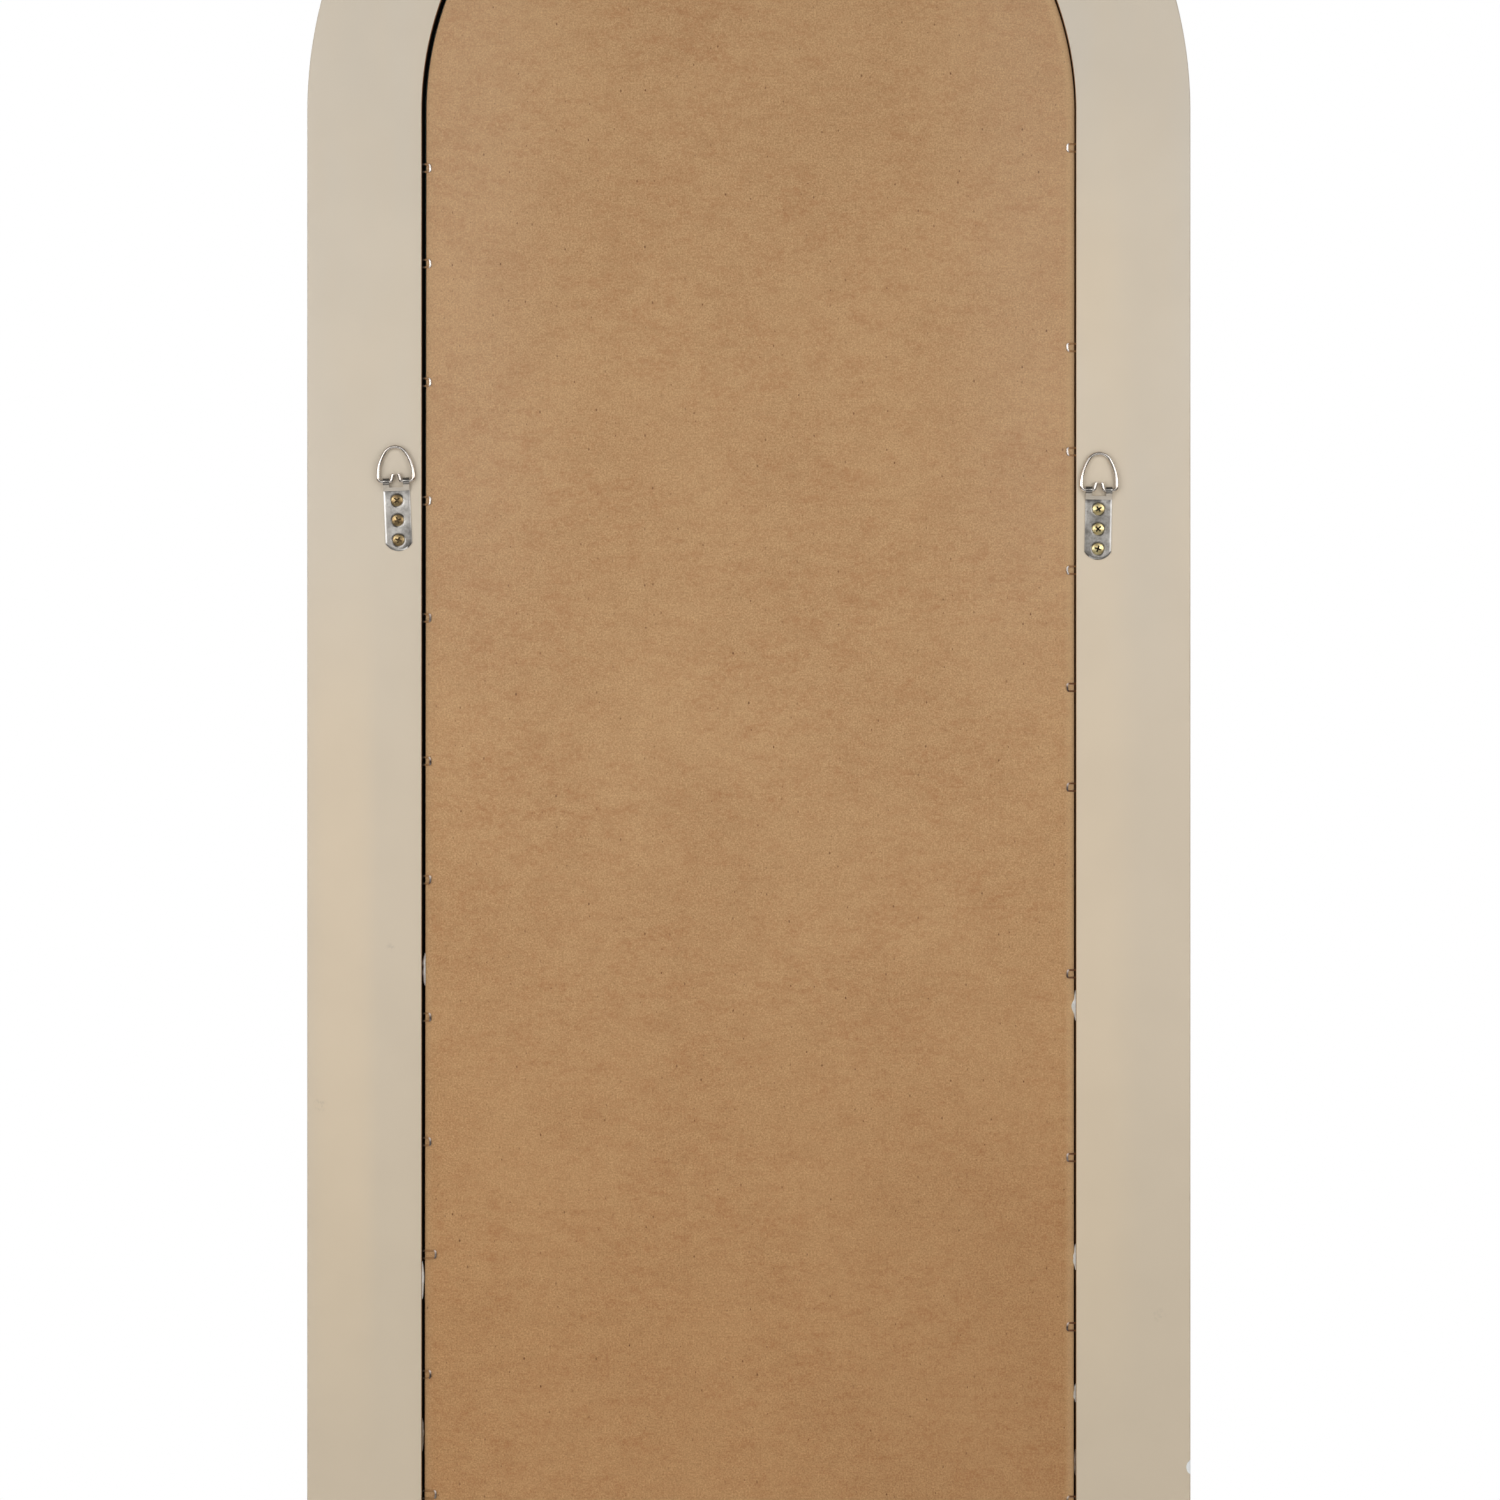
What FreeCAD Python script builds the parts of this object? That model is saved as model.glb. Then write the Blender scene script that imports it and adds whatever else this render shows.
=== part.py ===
# Arch-topped leaning floor mirror, in millimetres.
# The frame stands on z = 0 with its middle over the origin. The glass faces -Y, and the
# fixings are on the back, +Y. Left and right are as seen from the front: left is -X.
import FreeCAD, Part
import math
import os

Vector = FreeCAD.Vector

# Frame: four lengths of one moulding, painted all over
overall_width = 610.0
overall_height = 1676.0
frame_depth = 32.0
band_width = 79.0           # outer edge to the wall of the rabbet, the band seen from behind
lip_width = 10.0            # how far the sight lip stands in front of the glass
rabbet_depth = 14.0         # back face to the lip that the glass lies on
outer_round = 6.0           # round of the outer front edge
crown_rise = 2.5            # swell of the front field above its two edges
cove_run = 17.0             # width of the hollow that leads down to the glass
cove_hollow = 1.4           # depth of that hollow below a straight bevel
sight_setback = 11.0        # frontmost point to the front of the sight edge
back_arris = 1.2            # softened edge of the back face, outside
rabbet_arris = 0.6          # the same, at the rabbet

# Dowels in the frame's four glued joints
dowel_diameter = 8.0
dowel_length = 40.0
glue_line = 0.05            # room all round a dowel or a screw

# Glazing
glass_thickness = 4.0
glass_arris = 0.5           # ground edge of the glass
glass_clearance = 2.0       # glass edge to rabbet wall
board_thickness = 5.0
board_gap_left = 1.4        # the board was pushed to the left before it was stapled
board_gap_right = 3.0

# Narrow-crown staples, driven flat over the board into the rabbet wall
staple_crown = 6.4
staple_wire = 1.2
staple_height = 1.0
staple_bend = 0.5           # inner bend radius
staple_leg = 16.0
staple_stand = 6.4          # how much of the staple is left standing over the board
staple_proud_stand = 10.0   # the same, where it was driven less deep
staple_drops_right = (39, 105, 187, 269, 350, 449, 531, 626, 712, 873, 1040, 1125, 1210)
staple_drops_right_proud = (790, 956)
staple_drops_left = (25, 163, 235, 317, 398, 467, 596, 723, 840, 960, 1080, 1200)
staple_angles_arch = (28, 60, 90, 118, 151)
staple_count_rail = 4
staple_pitch_rail = 105.0
staple_end_room = 25.0      # no side staple is nearer than this to the bottom of the rabbet

# Dabs of glue between the board and the rabbet wall: how far below the spring line, how long,
# and which of the two they cling to
dabs_right = ((593, 23.5, "board"), (808, 27.0, "wall"), (915, 23.5, "wall"))
dabs_left = ((618, 21.5, "wall"), (792, 18.5, "wall"), (886, 13.0, "wall"), (934, 18.5, "wall"))
dab_clearance = 0.1

# Strap hangers with D rings. The bar is the straight side of the ring, which the strap holds.
hanger_drop_left = 262.0    # bar below the spring line
hanger_drop_right = 256.0
hanger_inset_left = 15.6    # bar's middle outwards from the rabbet wall
hanger_inset_right = 17.4
hanger_lean_left = 1.0      # degrees that the hanger leans outwards
hanger_lean_right = 2.4
strap_width = 18.3
strap_thickness = 1.0
strap_length = 48.0         # bar to the round end
strap_end_radius = 10.5
strap_edge_run = 1.6        # how far in from the edge the front is rolled over, below the flap
strap_edge_drop = 0.45      # and how much lower that leaves the edge
flap_drop = 5.2             # bar to where the flap meets the strap
flap_landing = 1.3          # how far the flap then lies on the strap
notch_width = 9.5           # opening between the two knuckles
notch_drop = 4.1            # bar to the bottom of that opening
bar_clearance = 0.1         # ring wire to knuckle
ring_wire = 2.6
ring_width = 27.2           # over the wire
ring_height_left = 26.6     # bar's centre line to the top of the wire; the two were bent unlike
ring_height_right = 25.2
ring_corner = 3.0           # centre-line radius where bar meets side
ring_crown = 8.6            # centre-line radius at the top
ring_rest_gap = 0.3         # top of the ring to the frame, lying flat
finger_bend = 1.5           # centre-line radius where the wire's end turns up
finger_lean = 15.0          # degrees that the two ends lean to each other
finger_reach = 5.6          # bar to the tip of each end
finger_side_room = 0.3      # wire's end to the side of the notch

# Cross-recess countersunk screws
screw_first = 13.1          # bar to the first screw
screw_pitch = 13.7
screw_head = 7.9
screw_shank = 4.0
screw_depth = 15.0          # end of the shank below the back of the strap
screw_point = 3.0
screw_rim = 0.3
screw_dome = 0.8
sink_mouth = 10.2           # countersink at the strap's front
sink_hole = 6.6             # and at its back, where the screw seats
recess_span = 5.0
recess_slot = 1.2
recess_depth = 1.7
recess_turns_left = (35, 48, 73)    # degrees that the cross of each screw in the row stands turned
recess_turns_right = (45, 20, 68)

# Values that follow from the ones above
half_width = overall_width / 2
spring = overall_height - half_width
face_width = band_width + lip_width
back = frame_depth / 2
front = -frame_depth / 2
lip_plane = back - rabbet_depth
glass_back = lip_plane + glass_thickness
board_back = glass_back + board_thickness
rabbet_half = half_width - band_width
bore_radius = ring_wire / 2 + bar_clearance
bar_height = bore_radius + strap_thickness

origin = Vector()
x_axis = Vector(1, 0, 0)
y_axis = Vector(0, 1, 0)
z_axis = Vector(0, 0, 1)
left_side = -1
right_side = 1
same_place = 1e-6


# Lines, arcs and outlines

def line(start, end):
    return Part.LineSegment(start, end).toShape()


def chain(points):
    return [line(a, b) for a, b in zip(points, points[1:])]


def arc(start, middle, end):
    return Part.Arc(start, middle, end).toShape()


def on_circle(centre, radius, degrees, up):
    """Point of a circle, at an angle from +X towards the axis up."""
    angle = math.radians(degrees)
    return centre + x_axis * (radius * math.cos(angle)) + up * (radius * math.sin(angle))


def bend(centre, radius, first, last, up):
    """Arc between two angles, in degrees from +X towards the axis up."""
    return arc(*[on_circle(centre, radius, a, up) for a in (first, (first + last) / 2, last)])


def face(edges):
    return Part.Face(Part.Wire(edges))


def box(low, high):
    size = high - low
    return Part.makeBox(size.x, size.y, size.z, low)


def mirrored(shape):
    return shape.mirror(origin, x_axis)


# Frame members

def moulding():
    """Section of the left stile at z = 0, drawn from the outer edge inwards."""
    shoulder = front + crown_rise
    sight_front = front + sight_setback
    cove_start = Vector(face_width - cove_run, shoulder)
    cove_end = Vector(face_width, sight_front)
    cove_middle = (cove_start + cove_end) * 0.5 + y_axis * cove_hollow
    field_start = Vector(outer_round, shoulder)
    field_middle = Vector((field_start.x + cove_start.x) / 2, front)
    back_start = Vector(back_arris, back)
    back_end = Vector(band_width - rabbet_arris, back)
    section = face([
        line(back_start, back_end),
        bend(back_end - y_axis * rabbet_arris, rabbet_arris, 90, 0, y_axis),
        *chain([
            Vector(band_width, back - rabbet_arris),
            Vector(band_width, lip_plane),
            Vector(face_width, lip_plane),
            cove_end,
        ]),
        arc(cove_end, cove_middle, cove_start),
        arc(cove_start, field_middle, field_start),
        bend(field_start + y_axis * outer_round, outer_round, 270, 180, y_axis),
        line(Vector(0, shoulder + outer_round), Vector(0, back - back_arris)),
        bend(back_start - y_axis * back_arris, back_arris, 180, 90, y_axis),
    ])
    section.translate(x_axis * -half_width)
    return section


def wedge(corners):
    """Triangular prism through the whole depth, on three corners in XZ."""
    points = [Vector(x, front, z) for x, z in corners]
    return face(chain(points + points[:1])).extrude(y_axis * frame_depth)


def left_stile():
    inner = face_width - half_width
    below_mitre = wedge([(-half_width, 0), (inner, 0), (inner, face_width)])
    return moulding().extrude(z_axis * spring).cut(below_mitre)


def bottom_rail():
    section = moulding()
    section.rotate(x_axis * -half_width, y_axis, -90)
    inner = face_width - half_width
    above_mitre = wedge([(-half_width, 0), (-half_width, face_width), (inner, face_width)])
    return section.extrude(x_axis * overall_width).cut(above_mitre).cut(mirrored(above_mitre))


def arch_head():
    section = moulding()
    section.translate(z_axis * spring)
    return section.revolve(z_axis * spring, y_axis, 180)


def dowel_pairs(centre_at, direction, room):
    """Two dowels across one joint, at a third and two thirds of the band, and their mirror image."""
    half = dowel_length / 2 + room
    radius = dowel_diameter / 2 + room
    left = []
    for share in (1 / 3, 2 / 3):
        start = centre_at(band_width * share) - direction * half
        left.append(Part.makeCylinder(radius, 2 * half, start, direction))
    return Part.Compound(left + [mirrored(dowel) for dowel in left])


def spring_dowels(room=0.0):
    return dowel_pairs(lambda u: Vector(u - half_width, 0, spring), z_axis, room)


def corner_dowels(room=0.0):
    across_mitre = (x_axis - z_axis).normalize()
    return dowel_pairs(lambda u: Vector(u - half_width, 0, u), across_mitre, room)


# Glazing

def arch_panel(left, right, near_y, thickness):
    """Flat panel that stands on the bottom rail, with a half-round top from the spring line."""
    corners = [Vector(x, near_y, z) for x, z in (
        (left, spring), (left, band_width), (right, band_width), (right, spring),
    )]
    top = Vector((left + right) / 2, near_y, spring + (right - left) / 2)
    outline = chain(corners) + [arc(corners[-1], top, corners[0])]
    return face(outline).extrude(y_axis * thickness)


def mirror_glass():
    edge = rabbet_half - glass_clearance
    pane = arch_panel(-edge, edge, lip_plane, glass_thickness)
    rims = [e for e in pane.Edges if e.BoundBox.YLength < same_place]
    return pane.makeChamfer(glass_arris, rims)


def backing_board():
    left = -rabbet_half + board_gap_left
    right = rabbet_half - board_gap_right
    return arch_panel(left, right, glass_back, board_thickness)


# Staples

def round_ended_bar(crown_x, tip_x, half, radius):
    """Flat bar along X, with two round corners at its crown end."""
    start = crown_x + radius
    inner = half - radius
    outline = face([
        *chain([
            Vector(start, 0, -half),
            Vector(tip_x, 0, -half),
            Vector(tip_x, 0, half),
            Vector(start, 0, half),
        ]),
        bend(Vector(start, 0, inner), radius, 90, 180, z_axis),
        line(Vector(crown_x, 0, inner), Vector(crown_x, 0, -inner)),
        bend(Vector(start, 0, -inner), radius, 180, 270, z_axis),
    ])
    return outline.extrude(y_axis * staple_height)


def staple(stand, wall_point, angle):
    """Staple on the board. Its legs point into the wall, at an angle from +X towards +Z."""
    half = staple_crown / 2
    tip = staple_leg - stand
    outside = round_ended_bar(-stand, tip, half, staple_bend + staple_wire)
    inside = round_ended_bar(staple_wire - stand, tip, half - staple_wire, staple_bend)
    bent = outside.cut(inside)
    bent.rotate(origin, y_axis, -angle)
    bent.translate(wall_point + y_axis * board_back)
    return bent


def side_staples(side, drops, proud_drops=()):
    lowest = band_width + staple_end_room
    angle = 0 if side == right_side else 180
    rows = [(drop, staple_stand) for drop in drops]
    rows += [(drop, staple_proud_stand) for drop in proud_drops]
    return Part.Compound([
        staple(stand, Vector(side * rabbet_half, 0, spring - drop), angle)
        for drop, stand in rows if spring - drop > lowest
    ])


def arch_staples():
    return Part.Compound([
        staple(staple_stand, on_circle(z_axis * spring, rabbet_half, angle, z_axis), angle)
        for angle in staple_angles_arch
    ])


def rail_staples():
    first = -staple_pitch_rail * (staple_count_rail - 1) / 2
    return Part.Compound([
        staple(staple_stand, Vector(first + i * staple_pitch_rail, 0, band_width), 270)
        for i in range(staple_count_rail)
    ])


# Glue dabs

def glue_dabs(side, gap, places):
    """Lens-shaped dabs on the glass's back, flat where they cling and swelling to the other side."""
    wall = side * rabbet_half
    swell = side * (gap - dab_clearance)
    flat_and_crest = {
        "wall": (wall, wall - swell),
        "board": (wall - side * gap, wall - side * gap + swell),
    }
    dabs = []
    for drop, length, clings_to in places:
        flat, crest = flat_and_crest[clings_to]
        middle = spring - drop
        low = Vector(flat, glass_back, middle - length / 2)
        high = Vector(flat, glass_back, middle + length / 2)
        outline = [line(low, high), arc(high, Vector(crest, glass_back, middle), low)]
        if low.z > band_width:
            dabs.append(face(outline).extrude(y_axis * board_thickness))
    return Part.Compound(dabs)


# Hangers, each made upright on a back face at y = 0, with its bar over the origin

def strap_loop():
    """The strap from the side: up the frame, round the bar, and down on to itself as a flap."""
    bar = y_axis * bar_height
    slope = 2 * math.atan(bore_radius / flap_drop)
    out = Vector(0, math.cos(slope), -math.sin(slope))
    down = Vector(0, -math.sin(slope), -math.cos(slope))
    leave_outer = bar + out * bar_height
    leave_inner = bar + out * bore_radius
    land = leave_outer + down * ((leave_outer.y - 2 * strap_thickness) / math.sin(slope))
    foot = -flap_drop - flap_landing
    outer = [
        line(z_axis * -strap_length, origin),
        arc(origin, bar + z_axis * bar_height, leave_outer),
        *chain([
            leave_outer,
            land,
            Vector(0, 2 * strap_thickness, foot),
            Vector(0, strap_thickness, foot),
            Vector(0, strap_thickness, -strap_length),
            z_axis * -strap_length,
        ]),
    ]
    bar_foot = y_axis * strap_thickness
    flap_meets = Vector(0, strap_thickness, -flap_drop)
    eye = [
        arc(bar_foot, bar + z_axis * bore_radius, leave_inner),
        *chain([leave_inner, flap_meets, bar_foot]),
    ]
    across = x_axis * strap_width
    loop = face(outer).extrude(across).cut(face(eye).extrude(across))
    loop.translate(across * -0.5)
    return loop


def strap_outline(inset, height):
    """The strap from the front, with its shallow round end, drawn in by inset and at y = height."""
    half = strap_width / 2 - inset
    radius = strap_end_radius - inset
    length = strap_length - inset
    shoulder = radius - math.sqrt(radius**2 - half**2) - length
    corners = [Vector(x, height, z) for x, z in (
        (half, shoulder), (half, bar_height), (-half, bar_height), (-half, shoulder),
    )]
    end = arc(corners[-1], Vector(0, height, -length), corners[0])
    return Part.Wire(chain(corners) + [end])


def rolled_off():
    """What rolling takes off the strap's front edges, from the foot of the flap down round the end."""
    low = strap_thickness - strap_edge_drop
    edge = strap_outline(0, low)
    kept = Part.makeLoft([edge, strap_outline(strap_edge_run, strap_thickness)], True, True)
    half = strap_width / 2
    foot = -flap_drop - flap_landing
    above = box(Vector(-half, low, foot), Vector(half, strap_thickness, bar_height))
    return Part.Face(edge).extrude(y_axis * strap_edge_drop).cut(kept).cut(above)


def screw_places():
    return [z_axis * (-screw_first - i * screw_pitch) for i in range(len(recess_turns_left))]


def hanger_strap():
    blank = Part.Face(strap_outline(0, 0)).extrude(y_axis * (2 * bar_height))
    strap = strap_loop().common(blank).cut(rolled_off())
    half = notch_width / 2
    strap = strap.cut(box(Vector(-half, 0, -notch_drop), Vector(half, 2 * bar_height, bar_height)))
    for place in screw_places():
        sink = Part.makeCone(sink_hole / 2, sink_mouth / 2, strap_thickness, place, y_axis)
        strap = strap.cut(sink)
    return strap


def screw(room=0.0):
    """Screw along -Y, its cone seated in the strap's hole. room widens it to the hole it leaves."""
    seat = sink_hole / 2 - math.sqrt(2) * glue_line
    head = screw_head / 2 + room
    shank = screw_shank / 2 + room
    rim_low = screw_head / 2 - seat
    rim_top = rim_low + screw_rim
    neck = screw_shank / 2 - seat
    point = Vector(0, -screw_depth - screw_point - room)
    top = Vector(0, rim_top + screw_dome)
    dome_radius = (head**2 + screw_dome**2) / (2 * screw_dome)
    half_way = math.degrees(math.acos(head / dome_radius)) / 2 + 45
    on_dome = on_circle(top - y_axis * dome_radius, dome_radius, half_way, y_axis)
    rim = Vector(head, rim_top)
    profile = face([
        *chain([
            top,
            point,
            Vector(shank, -screw_depth - room),
            Vector(shank, neck - room),
            Vector(head, rim_low - room),
            rim,
        ]),
        arc(rim, on_dome, top),
    ])
    return profile.revolve(origin, y_axis, 360), top


def cross_recess(top, turn):
    """Cross-shaped pocket that narrows towards its floor."""
    span = recess_span / 2
    slot = recess_slot / 2
    floor = top - y_axis * recess_depth
    bar = box(floor - Vector(span, 0, slot), top + Vector(span, 0, slot))
    crossbar = box(floor - Vector(slot, 0, span), top + Vector(slot, 0, span))
    taper = Part.makeCone(slot, span, recess_depth, floor, y_axis)
    recess = bar.fuse(crossbar).common(taper)
    recess.rotate(origin, y_axis, turn)
    return recess


def hanger_screws(turns):
    row = []
    for place, turn in zip(screw_places(), turns):
        blank, top = screw()
        one = blank.cut(cross_recess(top, turn))
        one.translate(place)
        row.append(one)
    return Part.Compound(row)


def screw_holes():
    row = []
    for place in screw_places():
        hole, _ = screw(glue_line)
        hole.translate(place)
        row.append(hole)
    return Part.Compound(row)


def ring_path(ring_top):
    """Centre line of the ring's wire in XZ, from one end in the notch round to the other."""
    side_x = (ring_width - ring_wire) / 2
    crown_z = ring_top - ring_crown
    bend_x = notch_width / 2 - finger_side_room
    bend_centre = Vector(bend_x, 0, finger_bend)
    finger_foot = on_circle(bend_centre, finger_bend, finger_lean - 180, z_axis)
    rise = finger_reach - finger_foot.z
    tip = finger_foot + Vector(-math.tan(math.radians(finger_lean)) * rise, 0, rise)
    # The side is one arc, upright where it leaves the corner and tangent to the crown above.
    climb = crown_z - ring_corner
    side_radius = (side_x**2 - ring_crown**2 + climb**2) / (2 * (side_x - ring_crown))
    side_centre = Vector(side_x - side_radius, 0, ring_corner)
    meet = math.degrees(math.atan2(climb, -side_centre.x))
    corner_centre = Vector(side_x - ring_corner, 0, ring_corner)
    right_half = [
        line(tip, finger_foot),
        bend(bend_centre, finger_bend, finger_lean - 180, -90, z_axis),
        line(x_axis * bend_x, x_axis * corner_centre.x),
        bend(corner_centre, ring_corner, -90, 0, z_axis),
        bend(side_centre, side_radius, 0, meet, z_axis),
    ]
    crown = bend(z_axis * crown_z, ring_crown, meet, 180 - meet, z_axis)
    left_half = [mirrored(edge) for edge in reversed(right_half)]
    wire = Part.Wire(Part.__sortEdges__(right_half + [crown] + left_half))
    return wire, tip, finger_foot - tip


def d_ring(height):
    wire_radius = ring_wire / 2
    ring_top = height - wire_radius
    path, tip, along = ring_path(ring_top)
    section = Part.Wire(Part.Circle(tip, along, wire_radius).toShape())
    ring = path.makePipeShell([section], True, True)
    rest_lean = math.degrees(math.asin((bar_height - wire_radius - ring_rest_gap) / ring_top))
    ring.rotate(origin, x_axis, rest_lean)
    ring.translate(y_axis * bar_height)
    return ring


def on_stile(shape, side):
    """Moves a hanger piece from the origin to its place on the left or right stile."""
    drop, inset, lean = {
        left_side: (hanger_drop_left, hanger_inset_left, hanger_lean_left),
        right_side: (hanger_drop_right, hanger_inset_right, hanger_lean_right),
    }[side]
    shape.rotate(origin, y_axis, side * lean)
    shape.translate(Vector(side * (rabbet_half + inset), back, spring - drop))
    return shape


# The whole mirror

def build():
    parts = {
        "left_staples": side_staples(left_side, staple_drops_left),
        "right_staples": side_staples(right_side, staple_drops_right, staple_drops_right_proud),
        "arch_staples": arch_staples(),
        "rail_staples": rail_staples(),
        "spring_dowels": spring_dowels(),
        "corner_dowels": corner_dowels(),
        "mirror_glass": mirror_glass(),
        "backing_board": backing_board(),
        "left_glue_dabs": glue_dabs(left_side, board_gap_left, dabs_left),
        "right_glue_dabs": glue_dabs(right_side, board_gap_right, dabs_right),
    }
    for name, side, ring_height, turns in (
        ("left", left_side, ring_height_left, recess_turns_left),
        ("right", right_side, ring_height_right, recess_turns_right),
    ):
        parts[f"{name}_hanger_strap"] = on_stile(hanger_strap(), side)
        parts[f"{name}_d_ring"] = on_stile(d_ring(ring_height), side)
        parts[f"{name}_hanger_screws"] = on_stile(hanger_screws(turns), side)
    # Each member is cut for the dowels of its joints and for what is driven into it.
    at_spring = spring_dowels(glue_line)
    at_corners = corner_dowels(glue_line)
    left_holes = on_stile(screw_holes(), left_side)
    right_holes = on_stile(screw_holes(), right_side)
    stile = left_stile().cut(at_spring).cut(at_corners)
    for name, member, cuts in (
        ("left_stile", stile, [left_holes, parts["left_staples"]]),
        ("right_stile", mirrored(stile), [right_holes, parts["right_staples"]]),
        ("arch_head", arch_head(), [at_spring, parts["arch_staples"]]),
        ("bottom_rail", bottom_rail(), [at_corners, parts["rail_staples"]]),
    ):
        for cut in cuts:
            member = member.cut(cut)
        parts[name] = member
    return parts


def export(parts):
    os.makedirs("parts", exist_ok=True)
    for name, shape in parts.items():
        solids = shape.Solids
        node = solids[0] if len(solids) == 1 else Part.Compound(solids)
        node.exportStep(f"parts/{name}.step")
        print(f"{name}: {len(solids)} solids, {node.Volume / 1000:.3f} cm3, valid {node.isValid()}")


export(build())
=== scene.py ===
import math

import bmesh
import bpy
import numpy as np
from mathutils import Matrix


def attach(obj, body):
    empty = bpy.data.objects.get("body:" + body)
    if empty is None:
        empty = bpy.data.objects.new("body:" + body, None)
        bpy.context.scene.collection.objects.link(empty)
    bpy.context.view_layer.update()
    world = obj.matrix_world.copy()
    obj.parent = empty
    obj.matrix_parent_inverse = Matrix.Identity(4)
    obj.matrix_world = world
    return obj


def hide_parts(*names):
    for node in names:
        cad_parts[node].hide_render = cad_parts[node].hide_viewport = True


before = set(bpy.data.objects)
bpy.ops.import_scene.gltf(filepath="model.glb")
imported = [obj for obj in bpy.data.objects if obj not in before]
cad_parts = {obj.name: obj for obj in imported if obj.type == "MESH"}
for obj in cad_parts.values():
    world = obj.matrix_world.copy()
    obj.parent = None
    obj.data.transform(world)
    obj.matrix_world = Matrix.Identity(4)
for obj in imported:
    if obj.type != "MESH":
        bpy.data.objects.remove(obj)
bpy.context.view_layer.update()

# The mirror stands on z = 0, its glass faces -Y and its fixings are on the back, +Y.
# Shapes are worked out in millimetres in the frame's axes; they become metres in the mesh.
mm = 0.001
left, right = -1, 1                       # as seen from the glass side
bothSides = ((left, "left"), (right, "right"))
halfWidth = 305.0
spring = 1371.0                           # where the stiles end and the arch begins
back = 16.0
front = -16.0
band = 79.0                               # outer edge to the rabbet wall
lip = 10.0                                # the sight lip in front of the glass
rabbetHalf = halfWidth - band
lipPlane = 2.0                            # the lip's back, which the glass lies on
glassBack = 6.0
boardBack = 11.0


# Points, grids and pieces

def pointGrid(x, y, z):
    # coordinates that broadcast against each other, as one array of points
    return np.stack(np.broadcast_arrays(x, y, z), -1)


def circleArc(centre, radius, first, last, count):
    # centre + radius at evenly spaced angles, in degrees
    angle = np.radians(np.linspace(first, last, count))
    return np.stack([centre[0] + radius * np.cos(angle), centre[1] + radius * np.sin(angle)], -1)


def onceRound(count):
    # angles of a full turn, with no end point
    return np.linspace(0, 2 * math.pi, count, endpoint=False)


def arcThrough(a, m, b, count):
    # the circle through three points, run from the first to the last
    a, m, b = (np.asarray(p, float) for p in (a, m, b))
    sides = 2 * np.array([m - a, b - a])
    centre = np.linalg.solve(sides, [m @ m - a @ a, b @ b - a @ a])
    spokes = np.array([a, m, b]) - centre
    angles = np.degrees(np.unwrap(np.arctan2(spokes[:, 1], spokes[:, 0])))
    return circleArc(centre, np.linalg.norm(spokes[0]), angles[0], angles[2], count)


def softCorner(a, corner, b, count):
    # a quadratic curve from a to b that is pulled towards the corner
    t = np.linspace(0, 1, count)[:, None]
    return (1 - t) ** 2 * np.asarray(a) + 2 * t * (1 - t) * np.asarray(corner) + t**2 * np.asarray(b)


def shellOf(grid, capped=True, wrapRows=False):
    # skin of a grid of points [row, column, xyz]: columns run round it, rows along it
    rows, cols = grid.shape[:2]
    r = np.arange(rows if wrapRows else rows - 1)[:, None]
    c = np.arange(cols)[None, :]
    r2, c2 = (r + 1) % rows, (c + 1) % cols
    quads = np.stack([r * cols + c, r * cols + c2, r2 * cols + c2, r2 * cols + c], -1)
    faces = quads.reshape(-1, 4).tolist()
    if capped:
        faces.append(np.arange(cols)[::-1].tolist())
        faces.append(np.arange((rows - 1) * cols, rows * cols).tolist())
    return grid.reshape(-1, 3), faces


def wireAlong(line, plane, section, count, tip, tipRows=6, feel=0.05):
    # a section carried along a dense line of points that lies in a plane, square to the line's way
    # a feel before and after each point; at each end it closes in like a quarter circle over the tip
    steps = np.linalg.norm(np.diff(line, axis=0), axis=1)
    length = np.concatenate([[0], np.cumsum(steps)])
    turn = np.linspace(0, math.pi / 2, tipRows)
    inTip = tip * (1 - np.cos(turn))
    along = np.linspace(tip, length[-1] - tip, count)[1:-1]
    station = np.concatenate([inTip, along, length[-1] - inTip[::-1]])
    swell = np.concatenate([np.sin(turn), np.ones(count - 2), np.sin(turn[::-1])])

    def at(s):
        return np.stack([np.interp(s, length, line[:, k]) for k in range(3)], -1)

    ahead = at(np.minimum(station + feel, length[-1])) - at(np.maximum(station - feel, 0))
    ahead /= np.linalg.norm(ahead, axis=1)[:, None]
    across = np.cross(plane, ahead)
    reach = section[None] * swell[:, None, None]
    return at(station)[:, None] + reach[..., :1] * across[:, None] + reach[..., 1:] * np.asarray(plane)


def turned(points, axis, degrees):
    # right-handed turn about the X or Y axis through the origin
    c, s = math.cos(math.radians(degrees)), math.sin(math.radians(degrees))
    i, j = {"x": (1, 2), "y": (2, 0)}[axis]
    out = points.copy()
    out[..., i] = c * points[..., i] - s * points[..., j]
    out[..., j] = s * points[..., i] + c * points[..., j]
    return out


def addObject(name, data):
    made = bpy.data.objects.new(name, data)
    bpy.context.scene.collection.objects.link(made)
    return made


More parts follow.
